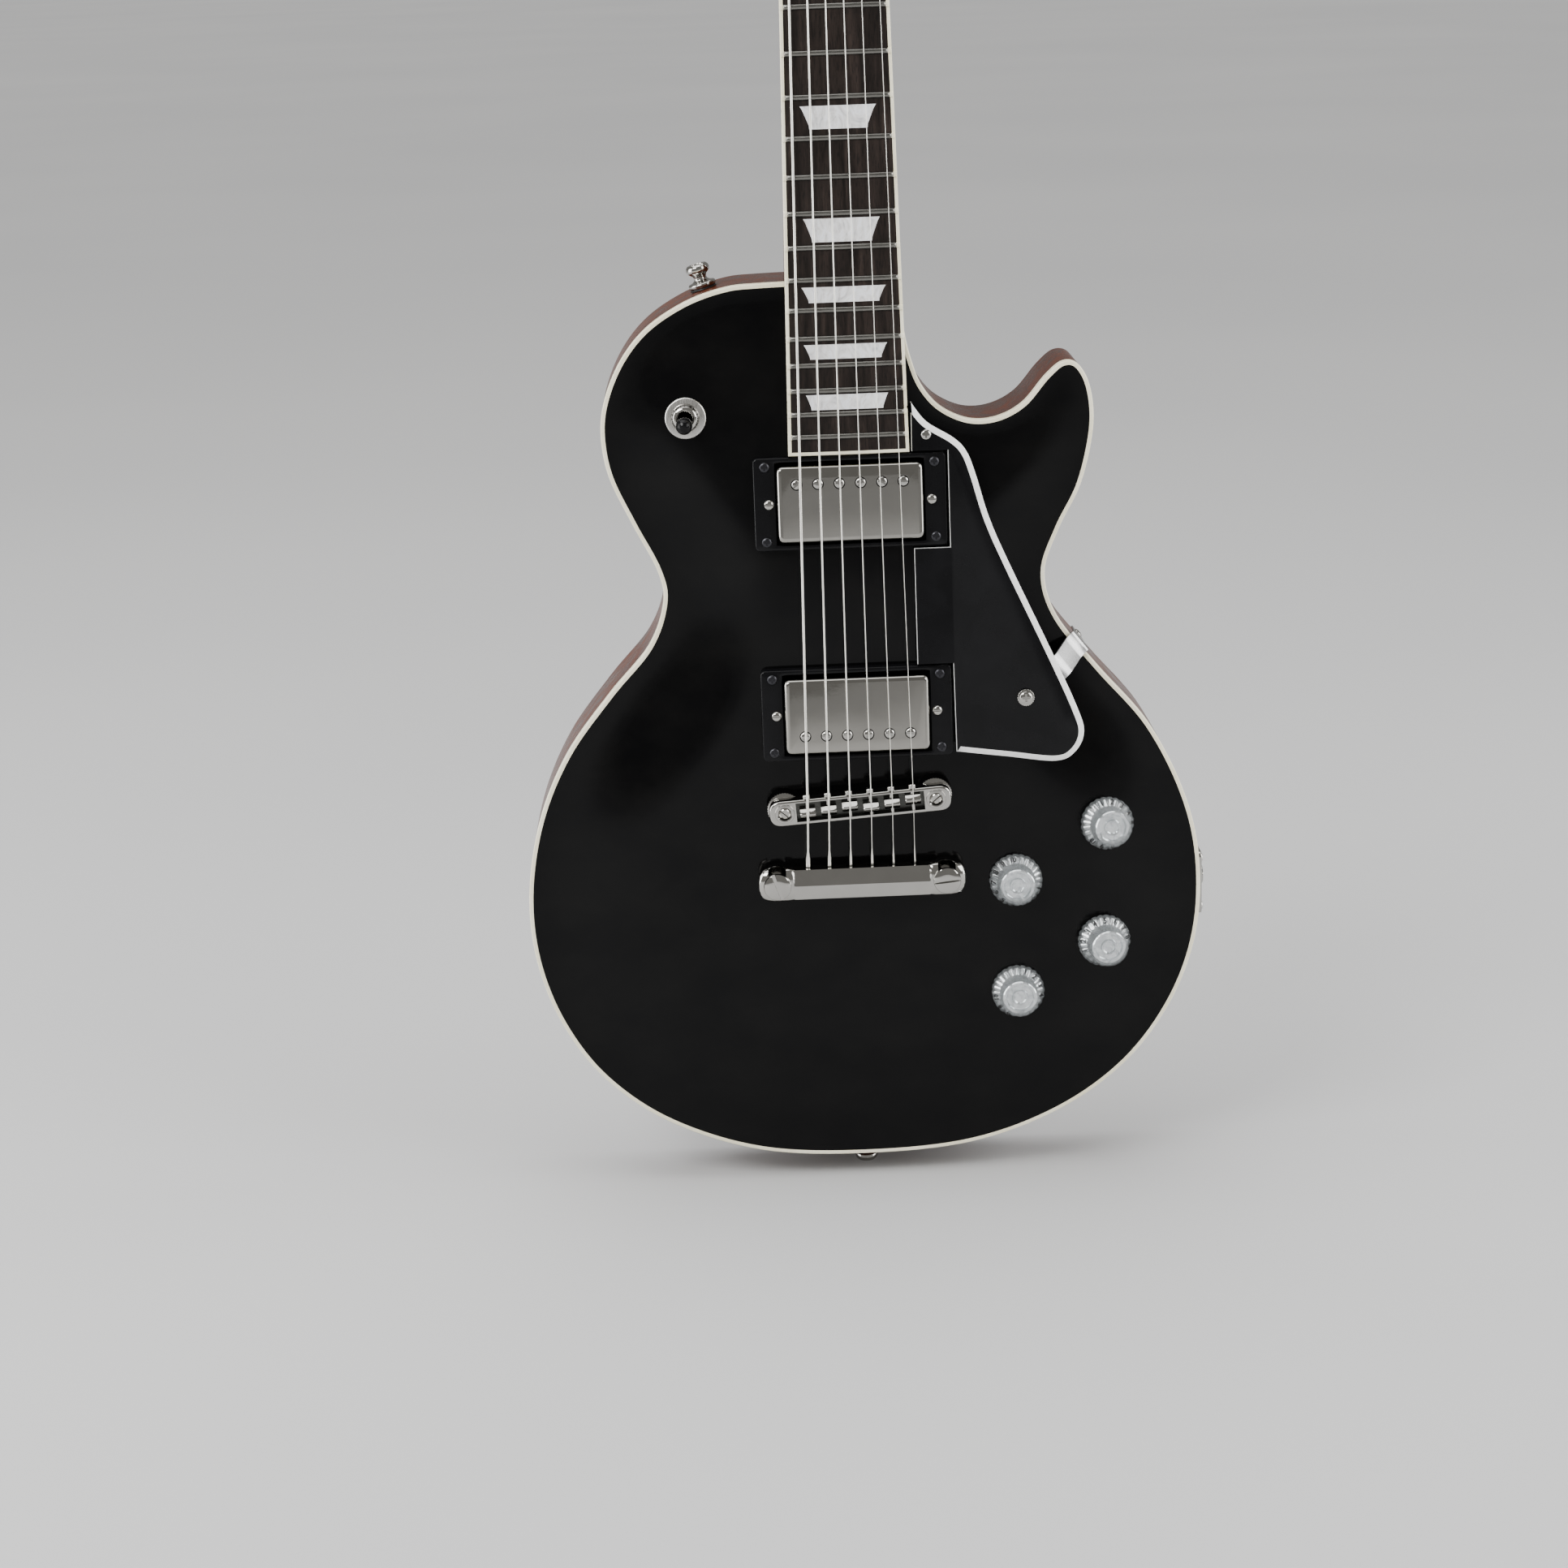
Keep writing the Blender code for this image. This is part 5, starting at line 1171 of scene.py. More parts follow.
def make_board_binding():
    """The strip along both edges and round the board's end, following its radius."""
    end, width = BOARD_END_WIDTH / 2, BOARD_BINDING
    path = [(-NUT_WIDTH / 2, SCALE_LENGTH), (-end, BOARD_END_S), (end, BOARD_END_S),
            (NUT_WIDTH / 2, SCALE_LENGTH)]
    inner = [(-NUT_WIDTH / 2 + width, SCALE_LENGTH), (-end + width, BOARD_END_S + width),
             (end - width, BOARD_END_S + width), (NUT_WIDTH / 2 - width, SCALE_LENGTH)]
    sections = []
    for leg in range(3):
        for t in np.linspace(0, 1, 16)[:(16 if leg == 2 else 15)]:
            (ax, az), (bx, bz) = (np.array(path[leg]) * (1 - t) + np.array(path[leg + 1]) * t,
                                  np.array(inner[leg]) * (1 - t) + np.array(inner[leg + 1]) * t)
            drop_a, drop_b = radius_drop(ax), radius_drop(bx)
            mid_x, mid_z = ax * 0.8 + bx * 0.2, az * 0.8 + bz * 0.2
            sections.append([(ax, BOARD_THICKNESS, az), (ax, drop_a + 0.45, az),
                             (mid_x, drop_a + 0.02, mid_z), (bx, drop_b - 0.02, bz),
                             (bx, BOARD_THICKNESS, bz)])
    piece("board_binding", loft(sections), CREAM, ["fingerboard_binding"],
          place=NECK)
    nibs = []
    for number in range(1, FRET_COUNT + 1):
        s = fret_place(number)
        for side in (-1, 1):
            x = side * (board_width(s) / 2 - BOARD_BINDING * 0.62)
            top = radius_drop(x)
            nibs.append(box((x - 0.95, top - 0.75, s - 1.35), (x + 0.95, top + 0.4, s + 1.35), 0.5))
    piece("fret_nibs", nibs, CREAM, place=NECK)
    dots = []
    for number in INLAYS:
        for offset in ((-3.5, 3.5) if number == 12 else (0,)):
            s = inlay_place(number) + offset
            half = board_width(s) / 2
            dots.append(rod(1.0, (-half + 0.5, 3.2, s), (-half - 0.03, 3.2, s), 20))
    piece("side_dots", dots, INK, place=NECK)


def make_nut():
    low, high, half = SCALE_LENGTH + 2 * SEAM, SCALE_LENGTH + NUT_THICKNESS, NUT_WIDTH / 2
    sections = []
    for x in np.linspace(-half, half, 25):
        ease = 0.5 * max(0.0, abs(x) - half + 2) ** 2 / 4
        top = radius_drop(x) - NUT_RISE + ease
        rise = fillet(((low, BOARD_THICKNESS), (low, top), (high, top + 1.0),
                       (high, BOARD_THICKNESS)), 0.9, 4)
        sections.append([(x, y, s) for s, y in rise])
    slots = []
    for x, diameter in zip(string_places(NUT_SPREAD), STRING_DIAMETERS):
        slots.append(box((x - diameter / 2 - 0.08, -NUT_RISE - 1, low - 1),
                         (x + diameter / 2 + 0.08, radius_drop(x) - SLOT_HEIGHT, high + 1)))
    piece("nut_saddle", boolean(loft(sections), slots), BONE, ["nut"], place=NECK)


# ---------------------------------------------------------------- pickups
def make_ring(side):
    """A gloss ring: the underside follows the cap, the top is parallel to the strings."""
    z, rise = PICKUPS[side], RING_RISES[side]
    outer = divided(rectangle(*RING_SIZE, RING_CORNER, (0, z)))
    half_width, half_height = (size / 2 for size in RING_OPENING)
    opening = []                                # its points lie inward of the outer ones
    for x, height in outer:
        dz = height - z
        scale = min(half_width / max(abs(x), 1e-6), half_height / max(abs(dz), 1e-6))
        opening.append((x * scale, z + dz * scale))

    def under(place):
        return (place[0], RIM_Y - arch(*place) - 0.1, place[1] + SADDLE_Z)

    def over(place, lower):
        height = rise - (place[1] - z) * tan(NECK_ANGLE) - lower
        return (place[0], RIM_Y - height, place[1] + SADDLE_Z)

    loops = [[under(place) for place in outer]]
    for distance, lower in ((0.0, 0.9), (0.12, 0.45), (0.45, 0.12), (0.9, 0.0)):
        loops.append([over(place, lower) for place in inset(outer, distance)])
    for distance, lower in ((-0.7, 0.0), (-0.2, 0.15), (0.0, 0.6)):
        loops.append([over(place, lower) for place in inset(opening, distance)])
    loops.append([under(place) for place in opening])
    ring = loft(loops, hoop=True)
    piece(side + "_ring", ring, PLASTIC, [side + "_pickup_ring"], smooth=40)
    top = BODY @ shift(0, -rise, z) @ turn(-NECK_ANGLE, "X")
    corner, middle = [], []
    for sx in (-1, 1):
        for sz in (-1, 1):
            spot = shift(sx * RING_SCREWS[0], 0, sz * RING_SCREWS[1])
            corner.append(placed(screw_head(2.4, 0.9), spot, FACING))
        spot = shift(sx * HEIGHT_SCREW_X, 0.1, 0)
        middle.append(placed(screw_head(2.5, 1.5, "line"), spot, FACING))
    piece(side + "_ring_screws", corner, DARK_STEEL, place=top)
    piece(side + "_height_screws", middle, CHROME, place=top)


def make_pickup(side):
    place = BODY @ shift(0, -COVER_RISES[side], PICKUPS[side]) @ turn(-NECK_ANGLE, "X")
    loop = rectangle(*COVER_SIZE, COVER_CORNER, steps=8)
    pole_z = POLE_SIDES[side] * POLE_OFFSET
    spots = [((i - 2.5) * POLE_SPACING, pole_z) for i in range(6)]
    shell = slab(loop, 0, COVER_DEPTH, edge=2.3, back_edge=0.0, steps=8)
    shell = boolean(shell, slab(inset(loop, COVER_WALL), COVER_WALL, 20, edge=1.0,
                                back_edge=0))
    shell = boolean(shell, [rod(POLE_HOLE_RADIUS, (x, -3, z), (x, 3, z), 28)
                            for x, z in spots])
    piece(side + "_cover", shell, COVER_CHROME, [side + "_pickup_cover"], place=place)
    bobbin = slab(inset(loop, 1.2), 1.3, 15.2, edge=0.8)
    piece(side + "_bobbins", bobbin, SATIN_PLASTIC, [side + "_pickup_coils"],
          place=place)
    poles = []
    for number, (x, z) in enumerate(spots):
        spin = turn(0.9 * sin(2.3 * number + 1.0), "Z")
        poles.append(placed(screw_head(2.45, 1.0, "line"), shift(x, 0.35, z), FACING, spin))
    piece(side + "_pole_screws", poles, CHROME, place=place)


# ---------------------------------------------------------------- pickguard
def make_pickguard():
    outer = catmull_rom(((29.8, 190.5), (37, 181), (49.5, 173), (55.5, 166.5), (59.5, 156),
                         (65.5, 135), (74, 114), (94, 69.5), (105.5, 42.5), (108.8, 30),
                         (104.5, 20.5), (95, 16.3), (72, 19.3), (47.2, 22.8)), 10)
    ring_x, neck_x = RING_SIZE[0] / 2 + 1.0, BOARD_END_WIDTH / 2 + 1.0
    bridge_top = PICKUPS["bridge"] + RING_SIZE[1] / 2 + 1.0
    neck_low, neck_top = (PICKUPS["neck"] + side * (RING_SIZE[1] / 2 + 1.0) for side in (-1, 1))
    inner = [(ring_x, bridge_top), (neck_x, bridge_top), (neck_x, neck_low),
             (ring_x, neck_low), (ring_x, neck_top), (neck_x, neck_top)]
    loop = [(x, along_neck(z, GUARD_DEPTH)) for x, z in list(outer) + inner]
    wide = np.full(len(loop), GUARD_BREAK / GUARD_BEVEL)
    wide[1:len(outer) - 1] = 1.0
    levels = ((GUARD_BEVEL, 0.0), (0.0, 1.7), (0.0, GUARD_THICKNESS))
    guard = loft([[(x, GUARD_DEPTH + depth, z) for x, z in inset(loop, distance * wide)]
                  for distance, depth in levels])
    for face in guard.polygons:                 # the bevel's faces come first and are white
        face.material_index = 1 if face.index < len(loop) else 0
    piece("guard", guard, [PLASTIC, PLY], ["pickguard"], place=NECK)
    small = placed(screw_head(2.5, 1.1), shift(36.6, GUARD_DEPTH, along_neck(175, 0)), FACING)
    large_place = shift(81, GUARD_DEPTH, along_neck(48, 0)) @ FACING
    rim = plate(knurled(4.2, 3.9, 48), 0.0, 1.1, edge=0.25)
    head = placed(screw_head(3.0, 0.9), shift(0, 0, 1.1))
    large = [placed(mesh, large_place) for mesh in (rim, head)]
    piece("guard_screws", [small] + large, CHROME, place=NECK)


def make_bracket():
    """The strip from under the guard, folded over the binding and screwed to the side."""
    x, z = BRACKET_PLACE
    bend = atan2(BRACKET_OUTWARD[1], BRACKET_OUTWARD[0])
    place = shift(x, RIM_Y, z + SADDLE_Z) @ turn(-bend, "Y")
    path = fillet(((-26, 17.0), (-15, 17.0), (-11.5, 15), (-3.5, 3.6), (-1.2, 1.9), (1.4, 0.9),
                   (1.4, -19)), 2.6, 6)
    thick, half_width = 0.55, 6.0
    sections = []
    for i, (u, height) in enumerate(path):
        along = path[min(i + 1, len(path) - 1)] - path[max(i - 1, 0)]
        normal = np.array((-along[1], along[0])) / np.linalg.norm(along)
        travel = min(1.0, (len(path) - 1 - i) / 4 + 0.35)
        half = half_width * (travel ** 0.5)
        loop = [(-half, -thick), (half, -thick), (half, thick), (-half, thick)]
        loop = fillet(loop, 0.3, 2, closed=True)
        sections.append([(u + side * normal[0], -(height + side * normal[1]), w)
                         for w, side in loop])
    piece("guard_bracket", loft(sections), BRUSHED, ["pickguard_bracket"], place=place, smooth=45)
    side_screw = placed(screw_head(2.5, 1.0), shift(1.95, 13.5, 0), SIDEWAYS)
    piece("bracket_screw", side_screw, CHROME, place=place)


# ---------------------------------------------------------------- bridge and tailpiece
def make_bridge():
    body = slab(rectangle(*BRIDGE_SIZE, 6.2, steps=10), -BRIDGE_TOP, -BRIDGE_BASE, edge=1.1)
    half_x, half_z = (size / 2 for size in TROUGH_SIZE)
    trough = box((-half_x, -BRIDGE_TOP - 2, -half_z),
                 (half_x, -BRIDGE_TOP + TROUGH_DEPTH, half_z))
    saddles, screws = [], []
    for x, offset in zip(string_places(SADDLE_SPREAD), SADDLE_OFFSETS):
        crest = SADDLE_CREST - radius_drop(x)
        roof = [(BRIDGE_TOP - 3.8, -2.6), (BRIDGE_TOP - 3.8, 2.6), (BRIDGE_TOP - 0.6, 2.6),
                (crest - 0.25, 0.55), (crest, 0.15), (crest, -0.15), (crest - 0.25, -0.55),
                (BRIDGE_TOP - 0.6, -2.6)]
        saddle = loft([[(x + side * 3.7, -height, z + offset) for height, z in roof]
                       for side in (-1, 1)])
        notch = box((x - 0.45, -crest - 1, offset - 4), (x + 0.45, -crest + 0.25, offset + 4))
        saddles.append(rounded(boolean(saddle, notch), 0.22, 2))
        axis_y = -BRIDGE_TOP + 1.8
        screws.append(rod(1.0, (x, axis_y, -6.0), (x, axis_y, 7.2), 16))
        head = placed(screw_head(1.9, 0.9, "line"), shift(x, axis_y, 7.6),
                      turn(0.6 * sin(x), "Z"))
        screws += [head, rod(1.9, (x, axis_y, 6.3), (x, axis_y, 7.7), 20)]
    holes, grooves = [], []
    groove = lathe(((3.2, -0.2), (4.9, -0.2), (4.6, 0.35), (3.7, 0.45), (3.2, 0.2)), 40,
                   closed=True)
    for side in (-1, 1):
        x = side * BRIDGE_POST_SPACING / 2
        holes.append(rod(3.3, (x, -BRIDGE_TOP - 5, 0), (x, 0, 0), 36))
        grooves.append(placed(groove, shift(x, -BRIDGE_TOP, 0), FACING))
    body = joined([boolean(boolean(body, trough), holes)] + grooves)
    # faces on the trough's walls and floor take the near-black finish: painted shade for the recess
    for face in body.polygons:
        x, y, z = face.center
        within = abs(x) < half_x + SEAM and abs(z) < half_z + SEAM
        face.material_index = 1 if within and y > -BRIDGE_TOP + 0.5 else 0
    piece("bridge_body", body, [CHROME, WELL_PAINTED_SHADE], ["bridge"], place=BRIDGE)
    piece("bridge_saddles", saddles, CHROME, place=BRIDGE, smooth=30)
    piece("saddle_screws", screws, CHROME, place=BRIDGE)


def make_bridge_posts():
    wheel_top = BRIDGE_BASE - GAP
    depth = STUD_HOLE_FLOOR_Y - RIM_Y - GAP
    for name, side in (("bass", -1), ("treble", 1)):
        x, z = bridge_post_place(side)
        place = shift(x, RIM_Y, z + SADDLE_Z) @ FACING
        shaft = lathe(((0, BRIDGE_TOP - 0.1), (2.0, BRIDGE_TOP - 0.1), (2.9, BRIDGE_TOP - 0.7),
                       (2.9, wheel_top - 2.4), (POST_STUD_RADIUS, wheel_top - 2.6),
                       (POST_STUD_RADIUS, -depth), (0, -depth)), 36)
        slot = box((-5, -0.5, BRIDGE_TOP - 1.4), (5, 0.5, BRIDGE_TOP + 2))
        shaft = boolean(shaft, placed(slot, turn(0.7 * side, "Z")))
        wheel = placed(slab(knurled(8.05, 8.4, 80), -wheel_top, -wheel_top + 2.4, edge=0.4,
                            steps=2), BACKWARD)
        piece(f"bridge_post_{name}_stud", [shaft, wheel], CHROME,
              [f"bridge_post_{name}"], place=place)


def ray_point(loop, angle):
    """Where a ray from the origin leaves a closed loop of (y, z) points."""
    ray_y, ray_z = sin(angle), cos(angle)
    best = 0.0
    for (ya, za), (yb, zb) in zip(loop, loop[1:] + loop[:1]):
        edge_y, edge_z = yb - ya, zb - za
        cross = ray_y * edge_z - ray_z * edge_y
        if abs(cross) > 1e-9:
            reach = (ya * edge_z - za * edge_y) / cross
            along = (ya * ray_z - za * ray_y) / cross
            if reach > 0 and -1e-4 <= along <= 1 + 1e-4:
                best = max(best, reach)
    return best * ray_y, best * ray_z


def make_tailpiece():
    """A bar with a shallow ridge between two rounder lugs."""
    ridge = fillet(((4.6, 5.5), (1.2, 8.3), (-3.0, 7.4), (-4.9, -0.6), (-3.1, -7.6),
                    (1.2, -8.3), (4.6, -5.5)), 0.35, 2, closed=True)
    angles = sorted({round(atan2(y, z), 5) for y, z in ridge}
                    | {round(t, 5) for t in np.linspace(-pi, pi, 41)[:-1]})
    power = 2.5
    lug = []
    for angle in angles:
        reach = (abs(sin(angle) / 5.1) ** power
                 + abs(cos(angle) / 8.8) ** power) ** (-1 / power)
        lug.append((reach * sin(angle), reach * cos(angle)))
    bar = [ray_point(ridge, angle) for angle in angles]
    stations = [(50.2, 0.4), (50.0, 0.55), (49.3, 0.72), (48.0, 0.86), (46.0, 0.95), (43, 1.0),
                (36.0, 1.0), (34.4, 0.985), (33.6, 0.95)]
    sections = []
    for x, size in stations:
        sections.append([(x, y * size ** 0.6, z * size) for y, z in lug])
    for x in (32.9, 32.3):
        sections.append([(x, y, z) for y, z in bar])
    sections += [[(-x, y, z) for x, y, z in section] for section in reversed(sections)]
    body = loft(sections)
    hooks = []
    reach = STUD_WAIST_RADIUS + GAP
    for side in (-1, 1):
        x = side * TAILPIECE_STUD_SPACING / 2
        hooks.append(slab([(x - reach, 14), (x - reach, 0)]
                          + [(x + reach * cos(t), reach * sin(t))
                             for t in np.linspace(-pi, 0, 17)[1:-1]]
                          + [(x + reach, 0), (x + reach, 14)], -8, 8))
    holes = [rod(2.1, (x, 0, -20), (x, 0, 20), 20) for x in string_places(TAIL_SPREAD)]
    piece("stop_bar", boolean(boolean(body, hooks), holes), CHROME,
          ["tailpiece"], place=TAILPIECE, smooth=28)


def make_tailpiece_studs():
    top, bottom = TAILPIECE_RISE + 5.2, TAILPIECE_RISE - 5.2
    depth = STUD_HOLE_FLOOR_Y - RIM_Y - GAP
    profile = [(0, top + 2.3), (3.0, top + 2.2), (5.4, top + 1.8), (6.4, top + 1.2),
               (6.7, top + 0.4), (6.5, top), (STUD_WAIST_RADIUS, top),
               (STUD_WAIST_RADIUS, bottom), (7.2, bottom), (7.4, bottom - 0.4),
               (7.2, bottom - 1.4), (BUSHING_RADIUS, bottom - 1.4), (BUSHING_RADIUS, -depth),
               (0, -depth)]
    for name, side, spin in (("bass", -1, 1.9), ("treble", 1, 0.1)):
        place = shift(side * TAILPIECE_STUD_SPACING / 2, RIM_Y, TAILPIECE_Z + SADDLE_Z) @ FACING
        slot = placed(box((-9, -0.8, top + 0.7), (9, 0.8, top + 5)), turn(spin, "Z"))
        piece(f"tailpiece_{name}_stud", boolean(lathe(profile, 56), slot), CHROME,
              [f"tailpiece_stud_{name}"], place=place)


# ---------------------------------------------------------------- controls
def numeral(text, size):
    """A flat numeral in the XY plane, centred, slightly thick."""
    curve = bpy.data.curves.new("numeral", "FONT")
    curve.body = text
    curve.size = size
    curve.align_x = "CENTER"
    curve.align_y = "CENTER"
    curve.extrude = 0.03
    curve.offset = 0.11
    curve.resolution_u = 3
    holder = add("numeral", curve)
    mesh = evaluated_mesh(holder)
    bpy.data.objects.remove(holder, do_unlink=True)
    return mesh


def scalloped(profile, start, depth, lobes=24, around=8):
    """A turned shape whose rim, beyond the start radius, is cut into rounded lobes."""
    bm = bmesh.new()
    rings = []
    for radius, height in profile:
        if radius < 1e-6:
            rings.append([bm.verts.new((0, 0, height))])
            continue
        ring = []
        for i in range(lobes * around):
            angle = 2 * pi * i / (lobes * around)
            lobe = 1 - abs(sin(lobes * angle / 2)) ** 0.6
            size = radius - (depth * lobe if radius > start - 0.6 else 0.0)
            ring.append(bm.verts.new((size * cos(angle), size * sin(angle), height)))
        rings.append(ring)
    for first, second in zip(rings, rings[1:]):
        ring_faces(bm, first, second)
    return new_mesh(bm)


def make_knobs():
    """A clear shell over a silvered insert, with numerals round the skirt."""
    high = KNOB_HEIGHT
    shell = scalloped(((0, high), (7.9, high), (8.9, high - 0.4), (9.3, high - 1.2), (9.8, 5.6),
                       (10.3, 4.9), (12.2, 3.7), (12.9, 3.0), (13.0, 2.4), (13.0, 0.1),
                       (12.3, 0.0), (12.0, 2.2), (10.0, 3.7), (9.2, 5.0), (8.8, high - 1.6),
                       (0, high - 1.6)), 12.5, 0.75)
    top = high - 2.0
    insert = scalloped(((0, top - 1.4), (2.6, top - 1.3), (3.1, top - 0.3), (3.6, top - 0.2),
                        (4.1, top - 1.3), (6.2, top - 1.4), (6.8, top - 0.2), (7.9, top),
                        (8.4, top - 0.6), (8.8, 5.2), (9.4, 4.0), (12.0, 2.1), (12.2, 1.7),
                        (12.2, 0.3), (3.4, 0.3), (3.4, 8.0), (0, 8.0)), 11.8, 1.3)
    slope = atan2(1.2, 1.9)
    numerals = []
    for value in range(1, 11):
        around = radians(120 - NUMERAL_STEP * value)
        mesh = numeral(str(value), 3.9 if value < 10 else 3.3)
        numerals.append(placed(mesh, turn(around, "Z"), shift(11.15, 0, 4.4),
                               turn(slope, "Y"), turn(radians(-90), "Z")))
    for name, place in KNOBS.items():
        body = "knob_" + name
        spin = place @ turn(1.1 * len(name) + (2.0 if "lower" in name else 0.4), "Z")
        piece(body + "_insert", insert, SILVER, [body], body=body, place=spin)
        piece(body + "_numerals", numerals, INK, body=body, place=spin)
        piece(body + "_shell", shell, ACRYLIC, body=body, place=spin)
    dress("control_plate", ZINC, 0.15)


def make_switch():
    place = cap_frame(*SWITCH_PLACE)
    under = -(arch(*SWITCH_PLACE) + (CAP_Y - RIM_Y))
    shoulder = under - 5.0
    washer = lathe(((5.9, 0.0), (9.7, 0.0), (9.8, 0.5), (9.3, 1.0), (6.2, 1.2), (5.9, 1.1)), 64,
                   closed=True, edge=0.2)
    nut = lathe(((3.6, 4.6), (4.6, 4.7), (5.6, 4.2), (6.5, 2.8), (6.9, 1.6), (6.9, 1.1),
                 (3.6, 1.1)), 64, closed=True, edge=0.3)
    notches = [placed(box((5.6, -0.35, 2.4), (8, 0.35, 6)), turn(2 * pi * i / 20, "Z"))
               for i in range(20)]
    nut = boolean(nut, notches)
    case = lathe(((3.6, 1.0), (SWITCH_BUSH_RADIUS, 1.0), (SWITCH_BUSH_RADIUS, shoulder),
                  (13.4, shoulder), (13.4, shoulder - 8), (3.6, shoulder - 8)), 48, closed=True)
    piece("switch_nut", [nut, washer, case], [CHROME, SATIN, ZINC], ["switch_body"], place=place)
    lever_place = place @ turn(SWITCH_REST_TILT, "X")
    tip = lathe(((0, 17.6), (1.6, 17.4), (2.9, 16.5), (3.7, 15.0), (3.95, 13.2), (3.7, 10.6),
                 (3.2, 8.6), (2.9, 8.0), (1.5, 7.7), (0, 7.7)), 40, edge=0.2)
    shaft = lathe(((0, 8.0), (1.5, 8.0), (1.5, -6.9), (0, -6.9)), 24)
    piece("switch_tip", [tip, shaft], [PLASTIC, CHROME], ["switch_lever"],
          body="switch_lever", place=lever_place)


def make_jack():
    place = shift(JACK_FACE_X + 0.4, 0, JACK_Z + SADDLE_Z) @ SIDEWAYS
    top = JACK_PLATE_THICKNESS
    cover = plate(rectangle(JACK_PLATE_SIZE, JACK_PLATE_SIZE, 3.0), 0.0, top, edge=0.5,
                  back_edge=0.0)
    bore = rod(JACK_BORE_RADIUS, (0, 0, -23), (0, 0, 9), 36)
    barrel = rod(8.0, (0, 0, -26), (0, 0, 1.0), 40)
    nut = rounded(plate(hexagon(6.3), top, 3.4), 0.35)
    washer = lathe(((JACK_BORE_RADIUS, 1.5), (7.2, 1.5), (7.2, 1.9), (JACK_BORE_RADIUS, 1.9)), 48,
                   closed=True)
    thread = lathe(((0, 1), (4.7, 1), (4.7, 3.7), (4.4, 4.0), (0, 4.0)), 40)
    shapes = [boolean(mesh, bore) for mesh in (cover, barrel, nut, thread)] + [washer]
    piece("jack_plate", shapes, CHROME, ["output_jack"], place=place)
    heads = [placed(screw_head(2.4, 1.0), shift(sx * 12.4, sy * 12.4, top))
             for sx in (-1, 1) for sy in (-1, 1)]
    piece("jack_plate_screws", heads, SATIN, place=place)


# ---------------------------------------------------------------- tuners and strings
def make_tuners():
    back = HOUSING_FRONT + 11.0
    worm_y = GEAR_FRONT + 2
    post = lathe(((0, POST_RISE), (2.4, POST_RISE), (POST_RADIUS, POST_RISE - 0.6),
                  (POST_RADIUS, 11), (2.6, 9.7), (2.6, 6), (POST_RADIUS, 4.6),
                  (POST_RADIUS, -GEAR_FRONT), (GEAR_RADIUS, -GEAR_FRONT),
                  (GEAR_RADIUS, -GEAR_FRONT - 4), (0, -GEAR_FRONT - 4)), 40, edge=0.2)
    post = boolean(post, rod(0.9, (-6, 0, 7.8), (6, 0, 7.8), 16))
    bushing = lathe(((POST_RADIUS + 0.3, 0.0), (6.8, 0.0), (6.8, 0.7), (6.4, 0.9),
                     (POST_RADIUS + 0.3, 0.9)), 48, closed=True)
    nut = boolean(plate(hexagon(5.6, 0.4), 0.9, 3.0),
                  rod(POST_RADIUS + 0.35, (0, 0, -2), (0, 0, 6), 32))
    nut = rounded(nut, 0.3)
    for name, number, side, x, z in tuner_places():
        label = f"{name}_{number}"
        loop = fillet(((x - 8.4, z - 6), (x - 6, z - 8.4), (x + 6, z - 8.4), (x + 8.4, z - 6),
                       (x + 8.4, z + 9), (x + 5.5, z + 12.4), (x - 5.5, z + 12.4),
                       (x - 8.4, z + 9)), 2.0, 4, closed=True)
        housing = slab(loop, HOUSING_FRONT, back, edge=0.3, back_edge=2.6, steps=6)
        sleeve = rod(4.4, (x + side * 6, worm_y, z + WORM_OFFSET),
                     (x + side * 11.2, worm_y, z + WORM_OFFSET), 32, edge=0.5)
        housing = boolean(housing, sleeve, "UNION")
        housing = boolean(housing, [
            rod(GEAR_RADIUS + 0.5, (x, HOUSING_FRONT - 2, z), (x, GEAR_FRONT + 4.4, z), 32),
            rod(WORM_RADIUS + 0.3, (x - side * 6, worm_y, z + WORM_OFFSET),
                (x + side * 20, worm_y, z + WORM_OFFSET), 24)])
        piece("tuner_case_" + label, housing, CHROME, ["tuner_housing_" + label], place=HEAD)
        cap = placed(screw_head(2.1, 0.9), shift(x, back - 0.05, z - 4.6), BACKWARD)
        piece("tuner_case_screw_" + label, cap, SATIN, place=HEAD)
        front = shift(x, 0, z) @ FACING
        piece("tuner_bushing_" + label, [bushing, nut], CHROME, place=HEAD @ front)
        piece("tuner_capstan_" + label, post, CHROME, ["tuner_post_" + label],
              body="tuner_post_" + label, place=HEAD @ front)
        make_tuner_button(label, side, x, worm_y, z + WORM_OFFSET)


